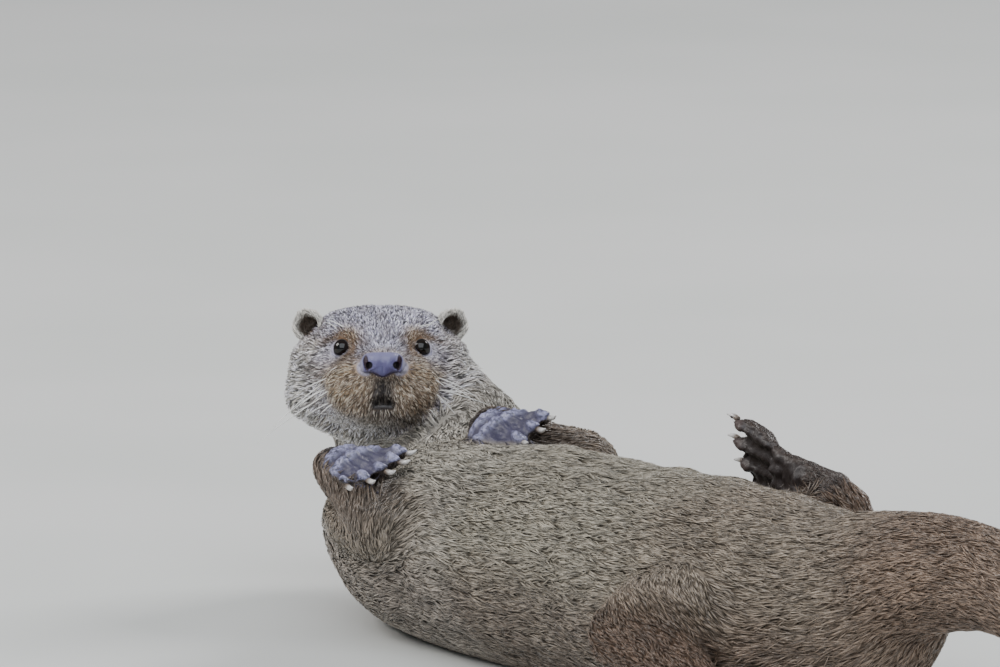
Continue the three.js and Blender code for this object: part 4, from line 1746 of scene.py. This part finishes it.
@dataclass
class Coat:
    """Grows locks over a surface."""

    seed: int
    sink: float = 0.35
    patch: float = 0.003
    most: int = 190_000

    def __post_init__(self) -> None:
        """Starts the random draws."""
        self.rng = np.random.default_rng(self.seed)

    def roots(self, surface: Surface, where: Array) -> Roots:
        """Scatters roots evenly.

        Args:
            surface: the skin to grow on, with its values.
            where: how dense the coat is at each point, from 0 to 1.

        Returns:
            The roots.
        """
        corners = surface.points[surface.tris]
        cross = np.cross(corners[:, 1] - corners[:, 0], corners[:, 2] - corners[:, 0])
        area = np.linalg.norm(cross, axis=1) / 2 / MM**2
        gap = surface.values["spacing"][surface.tris].mean(1)
        wanted = area / gap**2 * where[surface.tris].mean(1)
        count = np.floor(wanted + self.rng.random(len(wanted))).astype(int)
        owner = np.repeat(np.arange(len(count)), count)
        a, b = self.rng.random((2, len(owner)))
        flip = a + b > 1
        a, b = np.where(flip, 1 - a, a), np.where(flip, 1 - b, b)
        share = np.stack([1 - a - b, a, b], 1)
        tris = surface.tris[owner]
        normals = surface.normals()
        values = {}
        for key, value in surface.values.items():
            spread = share[:, :, None] if value.ndim > 1 else share
            values[key] = (value[tris] * spread).sum(1)
        points = (surface.points[tris] * share[:, :, None]).sum(1)
        return Roots(points, unit((normals[tris] * share[:, :, None]).sum(1)), values)

    def grow(self, roots: Roots, tree: BVHTree, rise: Array, fleece: "Fleece") -> Surface:
        """Grows one lock from each root, lying along the skin.

        Args:
            roots: where they start.
            tree: the skin, which they follow.
            rise: how high each tip stands over the skin, in millimetres.
            fleece: how they grow.

        Returns:
            The locks as one surface; `tip` runs from 0 at the root to 1, and `luck` differs by lock.
        """
        count = len(roots.points)
        rng = self.rng
        length = roots.values["length"] * MM * rng.uniform(0.65, 1.35, count)
        width = roots.values["width"] * MM * rng.uniform(0.65, 1.35, count)
        lie = unit(roots.values["lie"])
        across = np.cross(roots.normals, lie)
        way = unit(lie + across * rng.normal(0, fleece.stray, count)[:, None])
        ends = roots.points + way * length[:, None]
        ends = self.clumped(roots, ends, across, length, fleece.clump)
        steps = fleece.steps
        bend = fleece.curl * length * rng.normal(0, 1, count)
        height = np.maximum(rise, 0.15) * MM * rng.uniform(0.5, 1.3, count)
        centres = [roots.points - roots.normals * self.sink * MM]
        shares = np.linspace(0, 1, steps + 1)
        frames = [(roots.normals, way)]
        for share in shares[1:]:
            aim = lerp(roots.points, ends, share) + across * (bend * math.sin(math.pi * share))[:, None]
            lift = height * share**0.8 * (1.25 - 0.25 * share)
            found = [tree.find_nearest(p) for p in aim.tolist()]
            base = lerp(aim, np.array([f[0] for f in found]), fleece.follow)
            normal = np.array([f[1] for f in found])
            turned = (normal * roots.normals).sum(1, keepdims=True) < 0.2
            normal = unit(np.where(turned, roots.normals, normal))
            place = base + normal * lift[:, None]
            place[:, 2] = np.maximum(place[:, 2], 0.25 * MM)
            frames.append((normal, unit(place - centres[-1] + 1e-9)))
            centres.append(place)
        rows, tips = [], []
        form = np.interp(shares, [0, 0.45, 1], [0.8, 1.0, 0.0])
        for index, share in enumerate(shares[:-1]):
            normal, tangent = frames[index]
            side = unit(np.cross(normal, tangent)) * (width * form[index] / 2)[:, None]
            thick = normal * (width * form[index] * 0.32)[:, None]
            rows += [centres[index] - side, centres[index] + side, centres[index] + thick]
            tips += [share] * 3
        rows.append(centres[-1])
        tips.append(1.0)
        placed = np.stack(rows, 1)
        placed[:, :, 2] = np.maximum(placed[:, :, 2], 0.1 * MM)
        return self.solid(placed, np.array(tips), roots, fleece.variety)

    def clumped(self, roots: Roots, ends: Array, across: Array, length: Array, clump: float) -> Array:
        """Draws the tips sideways together into wet points.

        Args:
            roots: the locks' roots.
            ends: where their tips would lie.
            across: the way across each lock.
            length: each lock's length, in metres.
            clump: how far tips are drawn together, from 0 to 1.

        Returns:
            The new ends.
        """
        count = len(roots.points)
        leaders = np.flatnonzero(self.rng.random(count) < 1 / 8)
        if len(leaders) < 2:
            return ends
        tree = KDTree(len(leaders))
        for place, leader in enumerate(leaders):
            tree.insert(roots.points[leader], place)
        tree.balance()
        found = [tree.find(p) for p in roots.points.tolist()]
        leader = leaders[[f[1] for f in found]]
        near = np.array([f[2] for f in found])
        share = clump * smooth(1.2, 0.3, near / length)
        aside = ((ends[leader] - ends) * across).sum(1)
        return ends + across * (aside * share)[:, None]

    def solid(self, rows: Array, tips: Array, roots: Roots, variety: float) -> Surface:
        """Joins the rows of every lock to closed, pointed solids.

        Args:
            rows: locks x points x 3 places.
            tips: how far along its lock each point is.
            roots: the locks' roots.
            variety: how much `luck` differs.

        Returns:
            All locks as one surface.
        """
        count, per = rows.shape[:2]
        faces = [(0, 2, 1)]
        for base in range(0, per - 4, 3):
            for a, b in ((0, 1), (1, 2), (2, 0)):
                faces += [(base + a, base + b, base + b + 3), (base + a, base + b + 3, base + a + 3)]
        last = per - 4
        faces += [(last + a, last + b, per - 1) for a, b in ((0, 1), (1, 2), (2, 0))]
        tris = (np.arange(count) * per)[:, None, None] + np.array(faces)[None]
        values = {key: np.repeat(roots.values[key], per) for key in MARKS}
        values["tip"] = np.tile(tips, count)
        values["across"] = np.tile([(-1.0, 1.0, 0.0)[row % 3] for row in range(per - 1)] + [0.0], count)
        values["luck"] = np.repeat(0.5 + (self.rng.random(count) - 0.5) * variety, per)
        return Surface(rows.reshape(-1, 3), tris.reshape(-1, 3), values)

    def spots(self, roots: Roots, per: int, axis: Array) -> Array:
        """The place of each lock's points on the unwrapped skin.

        Args:
            roots: the locks' roots.
            per: points in each lock.
            axis: the direction that the skin is unwrapped round.

        Returns:
            Map places, each lock within a small patch.
        """
        middle = roots.points.mean(0)
        local = roots.points - middle
        along = local @ axis
        first = unit(np.cross(axis, [0.3, 0.2, 0.93]))
        turn = np.arctan2(local @ np.cross(axis, first), local @ first)
        u = 0.01 + 0.975 * (turn + math.pi) / (2 * math.pi)
        v = 0.01 + 0.975 * (along - along.min()) / max(np.ptp(along), 1e-6)
        patch = np.array([((0, 1, 0.5)[index % 3], index / per) for index in range(per)]) * self.patch
        return (np.stack([u, v], 1)[:, None, :] + patch[None]).reshape(-1, 2)


@dataclass(frozen=True)
class Fleece:
    """One stretch of coat: its name, its nodes, the material slot and how its locks grow."""

    name: str
    nodes: tuple
    slot: str
    rise: float = 0.45
    clump: float = 0.70
    curl: float = 0.07
    stray: float = 0.12
    variety: float = 0.8
    steps: int = 2
    follow: float = 1.0


FLEECES = (
    Fleece("coat_head", HEAD_NODES, "coat_crown", rise=0.8, stray=0.19, variety=1.35),
    Fleece("coat_neck", ("neck",), "coat_crown"),
    Fleece("coat_chest", ("chest",), "coat_belly"),
    Fleece("coat_belly", ("belly",), "coat_belly"),
    Fleece("coat_rump", ("rump",), "coat_belly"),
    Fleece("coat_tail", ("tail_root", "tail_middle", "tail_tip"), "coat_tail"),
    *(
        Fleece(f"coat_{limb}_{side.word}", tuple(f"{node}_{side.word}" for node in nodes), "coat_limb")
        for limb, nodes in (("arm", ("upper_arm", "forearm", "paw")), ("leg", ("thigh", "shank", "foot")))
        for side in Side
    ),
)


# ---- Whiskers and claws.


def tube(path: Array, girths: Array, sides: int = 6) -> Surface:
    """A round solid along a path, closed at both ends.

    Args:
        path: places along it.
        girths: its radius at each.
        sides: points round it.

    Returns:
        The tube with `tip` from 0 to 1 along it.
    """
    ahead = unit(np.gradient(path, axis=0))
    side = unit(np.cross(ahead, [0.31, 0.17, 0.93]))
    up = np.cross(ahead, side)
    turn = circle(sides)
    ring = np.cos(turn)[None, :, None] * side[:, None] + np.sin(turn)[None, :, None] * up[:, None]
    surface = rings(path[:, None] + ring * girths[:, None, None]).outward()
    surface.values["tip"] = np.repeat(np.linspace(0, 1, len(path)), sides)
    return surface


@dataclass(frozen=True)
class Whiskers:
    """Long pale bristles on the pads and brows, in the head's millimetres."""

    rows: int = 3
    columns: int = 3
    on_brow: int = 2
    girths: tuple = (0.36, 0.31, 0.08)
    seed: int = 11

    def build(self, tree: BVHTree) -> Surface:
        """All whiskers as one mesh, rooted in the skin.

        Args:
            tree: the skin.

        Returns:
            The whiskers, with `tip` along each.
        """
        rng = np.random.default_rng(self.seed)
        whole: Surface | None = None
        for side in (Side.RIGHT, Side.LEFT):
            for row in range(self.rows):
                for column in range(self.columns):
                    place = np.array([-20.0 - column * 6.0, side * (19 + column * 7.0), -10.0 - row * 4.2])
                    start = place + rng.normal(0, 0.9, 3)
                    long = (10 + 15 * column) * rng.uniform(0.6, 1.25)
                    ahead = -0.05 + 0.12 * rng.normal()
                    way = np.array([ahead, side * 0.92, -0.34 - 0.06 * row + 0.16 * rng.normal()])
                    whole = self.add(whole, tree, start, unit(way), long, rng.uniform(0.05, 0.34), rng)
            for index in range(self.on_brow):
                start = np.array([-42.0 - index * 2, side * (21 + 4.4 * index), 20.0 + rng.uniform(-1, 1)])
                way = unit(np.array([-0.1, side * 0.75, 0.45 + 0.2 * rng.normal()]))
                whole = self.add(whole, tree, start, way, rng.uniform(9, 16), 0.25, rng)
        return whole

    def add(
        self, whole: Surface | None, tree: BVHTree, start: Array, way: Array, long: float, droop: float,
        rng: np.random.Generator,
    ) -> Surface:
        """Adds one whisker to the whole.

        Args:
            whole: the whiskers so far.
            tree: the skin, which it leaves near `start`.
            start: where it starts.
            way: its direction there.
            long: its length.
            droop: how far it bends down.
            rng: the random draws.

        Returns:
            The whiskers with this one.
        """
        root = np.array(tree.find_nearest(Vector(HEAD.place(start)))[0])
        local = HEAD.local(root[None])[0] - unit(way) * 0.8
        share = np.linspace(0, 1, 12)[:, None]
        sway = np.array([-1.0, 0.0, 0.3]) * rng.normal(0, 0.06)
        path = local + way * long * share + (np.array([-0.10, 0, -1.0]) * droop + sway) * long * share**2
        girth = np.interp(share.ravel(), [0, 0.25, 1], self.girths) * MM
        made = tube(HEAD.place(path), girth)
        return made if whole is None else whole.joined(made)


@dataclass(frozen=True)
class Claws:
    """Short curved claws at the tips of the digits."""

    girth: float = 1.75
    sides: int = 8

    def build(self) -> Surface:
        """All claws as one mesh.

        Returns:
            The claws, with `tip` along each.
        """
        whole: Surface | None = None
        for paw in PAWS:
            for index, reach in enumerate(paw.form.digits):
                tip, out = paw.form.digit(index, reach - 2.5)
                share = np.linspace(0, 1, 10)[:, None]
                curve = 0.6 + 1.2 * np.sin(share * math.pi * 0.55) - 2.8 * share**2
                path = tip + out * paw.form.claw * share + curve * np.array([0, 0, 1.0])
                girths = self.girth * np.interp(share.ravel(), [0, 0.3, 0.7, 1], [1.0, 1.0, 0.7, 0.2])
                made = tube(paw.place(path), girths * MM, self.sides)
                whole = made if whole is None else whole.joined(made)
        return whole


# ---- The studio.


@dataclass(frozen=True)
class Lamp:
    """A square soft light: where it hangs in metres, its power in watts, its side and its tint."""

    name: str
    place: tuple
    power: float
    size: float
    tint: tuple

    def hang(self, target: Vector) -> None:
        """Hangs it and aims it at `target`.

        Args:
            target: the place it lights, in metres.
        """
        data = bpy.data.lights.new(self.name, "AREA")
        data.energy, data.size, data.color = self.power, self.size, self.tint
        made = linked(self.name, data)
        made.location = self.place
        made.rotation_mode = "QUATERNION"
        made.rotation_quaternion = (target - Vector(self.place)).to_track_quat("-Z", "Y")


@dataclass(frozen=True)
class Studio:
    """Floor, soft lights and the camera, which faces the raised head."""

    azimuth: float = 55.0
    elevation: float = 8.5
    distance: float = 7.0
    view_width: float = 0.580
    right: float = 68.0
    above: float = 18.0
    sensor: float = 36.0
    floor_half: float = 40.0
    aim: tuple = (-0.2, 0.0, 0.08)
    sky: tuple = (0.93, 0.95, 1.0, 1.0)
    sky_strength: float = 0.30
    lamps: tuple = (
        Lamp("key", (-2.2, -3.2, 3.4), 150, 2.2, (1.0, 0.97, 0.93)),
        Lamp("fill", (3.0, -2.6, 4.2), 370, 6.4, (0.89, 0.945, 1.0)),
        Lamp("rim", (-0.6, 3.4, 2.8), 130, 1.8, (1.0, 1.0, 1.0)),
    )

    def build(self) -> None:
        """Builds all of it."""
        self.floor()
        self.camera()
        for lamp in self.lamps:
            lamp.hang(Vector(self.aim))
        world = bpy.data.worlds.new("studio")
        world.use_nodes = True
        background = world.node_tree.nodes["Background"]
        background.inputs["Color"].default_value = self.sky
        background.inputs["Strength"].default_value = self.sky_strength
        bpy.context.scene.world = world

    def floor(self) -> None:
        """A wide pale floor at the level the otter lies on."""
        half = self.floor_half
        corners = [(-half, -half, 0), (half, -half, 0), (half, half, 0), (-half, half, 0)]
        mesh = bpy.data.meshes.new("floor")
        mesh.from_pydata(corners, [], [(0, 1, 2, 3)])
        mesh.materials.append(FloorFinish().material())
        linked("floor", mesh)

    def camera(self) -> None:
        """The camera straight ahead of the face, framed wide to the animal's left."""
        turn, tilt = math.radians(self.azimuth), math.radians(self.elevation)
        back = Vector((math.sin(turn) * math.cos(tilt), -math.cos(turn) * math.cos(tilt), math.sin(tilt)))
        side = Vector((math.cos(turn), math.sin(turn), 0))
        up = back.cross(side)
        target = Vector(HEAD.origin) + (side * self.right + up * self.above) * MM
        data = bpy.data.cameras.new("camera")
        data.sensor_width = self.sensor
        data.lens = self.sensor * self.distance / self.view_width
        data.clip_start, data.clip_end = 0.1, 200.0
        made = linked("camera", data)
        turned = Matrix((side, up, back)).transposed().to_4x4()
        made.matrix_world = Matrix.Translation(target + back * self.distance) @ turned
        bpy.context.scene.camera = made


# ---- The otter.


class Otter:
    """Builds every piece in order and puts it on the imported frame."""

    def __init__(self) -> None:
        """Builds the finishes that several pieces share."""
        self.skin_finish = SkinFinish().material()
        self.coat_finish = CoatFinish().material()

    def settle(self, piece: bpy.types.Object, slot: str, *nodes: str) -> None:
        """Puts a piece on the body and hides the nodes it stands for.

        Args:
            piece: the new object.
            slot: its material slot; not used.
            nodes: the nodes that it replaces.
        """
        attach(piece, "root")
        if nodes:
            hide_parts(*nodes)
        LOG.info("%s: %d triangles", piece.name, len(piece.data.polygons))

    def hide(self, surface: Surface, name: str) -> bpy.types.Object:
        """A piece of skin with its markings."""
        values = {key: surface.values[key] for key in MARKS}
        return Surface(surface.points, surface.tris, values).piece(name, self.skin_finish)

    def build(self) -> None:
        """Builds the whole animal."""
        maker = Skin()
        skin = maker.surface
        eyes = [Eye(side) for side in Side]
        lids = [eye.lids(skin) for eye in eyes]
        for eye in eyes:
            eye.socket(skin)
        whole = skin
        for ring in lids:
            whole = whole.joined(ring)
        self.build_coat(whole, skin, maker.weights)
        self.settle(self.hide(whole, "skin"), "coat_belly", *NAMES)
        eye_finish = EyeFinish().material()
        for eye in eyes:
            name = eye.side.word
            self.settle(eye.ball().piece(f"eyeball_{name}", eye_finish), "eye", f"eye_{name}")
        self.settle(Nose().build().piece("nose_leather", NoseFinish().material()), "naked_skin", "nose")
        self.build_ears()
        whiskers = Whiskers().build(skin.tree()).piece("whiskers", WhiskerFinish().material())
        self.settle(whiskers, "coat_crown")
        self.settle(Claws().build().piece("claws", HornFinish().material()), "coat_limb")

    def build_coat(self, whole: Surface, skin: Surface, weights: Array) -> None:
        """Grows the coat over the skin and the lids, stretch by stretch.

        Args:
            whole: the skin with its lids.
            skin: the skin without them.
            weights: how much each point of the skin belongs to each node.
        """
        tree = whole.tree()
        coat = Coat(seed=5)
        bare = smooth(0.5, 0.2, whole.values["bare"]) * smooth(0.5, 0.25, whole.values["black"])
        x, y, z = HEAD.local(whole.points).T
        on_nose = np.sqrt(((x + 6.5) / 9.0) ** 2 + (y / 14.0) ** 2 + (z / np.where(z > 0, 9.0, 6.4)) ** 2)
        roots = coat.roots(whole, bare * smooth(0.95, 1.02, on_nose))
        skin_tree = skin.tree()
        nearest = [skin_tree.find_nearest(p)[2] for p in roots.points.tolist()]
        owners = weights[skin.tris[nearest, 0]].argmax(1)
        for fleece in FLEECES:
            chosen = np.flatnonzero(np.isin(owners, [NAMES.index(n) for n in fleece.nodes]))
            self.build_fleece(coat, fleece, roots.pick(chosen), tree)

    def build_fleece(self, coat: Coat, fleece: Fleece, roots: Roots, tree: BVHTree) -> None:
        """Grows one stretch, in as many pieces as its size asks for.

        Args:
            coat: what grows it.
            fleece: the stretch.
            roots: where its locks start.
            tree: the skin they follow.
        """
        spread = roots.points - roots.points.mean(0)
        axis = np.linalg.svd(spread[:: max(1, len(spread) // 2000)], full_matrices=False)[2][0]
        order = np.argsort(spread @ axis)
        parts = max(1, math.ceil(len(order) * (6 * fleece.steps - 2) / coat.most))
        for number, share in enumerate(np.array_split(order, parts)):
            some = roots.pick(share)
            name = fleece.name if parts == 1 else f"{fleece.name}_{number + 1}"
            rise = some.values["depth"] * fleece.rise
            self.grow_piece(coat, replace(fleece, name=name), some, tree, rise, axis)

    def grow_piece(
        self, coat: Coat, fleece: Fleece, roots: Roots, tree: BVHTree, rise: Array, axis: Array
    ) -> None:
        """Grows one piece of coat.

        Args:
            coat: what grows it.
            fleece: how its locks grow, and its name and slot.
            roots: where they start.
            tree: the skin they follow.
            rise: how high each tip stands over the skin, in millimetres.
            axis: the direction that the skin is unwrapped round.
        """
        locks = coat.grow(roots, tree, rise, fleece)
        per = locks.count // len(roots.points)
        self.settle(locks.piece(fleece.name, self.coat_finish, coat.spots(roots, per, axis)), fleece.slot)

    def build_ears(self) -> None:
        """Builds both ears with their fur."""
        coat = Coat(seed=8)
        for side in Side:
            ear = Ear(side).build()
            self.settle(self.hide(ear, f"ear_shell_{side.word}"), "coat_crown", f"ear_{side.word}")
            roots = coat.roots(ear, np.ones(ear.count))
            name = f"ear_fur_{side.word}"
            fleece = Fleece(name, (), "coat_crown", rise=0.9, clump=0.4, variety=0.4, follow=0.3)
            rise = np.full(len(roots.points), fleece.rise)
            self.grow_piece(coat, fleece, roots, ear.tree(), rise, HEAD.axes[0])


def main() -> None:
    """Builds the otter and the studio."""
    logging.basicConfig(level=logging.INFO, format="%(message)s")
    Otter().build()
    Studio().build()


if __name__ == "__main__":
    main()
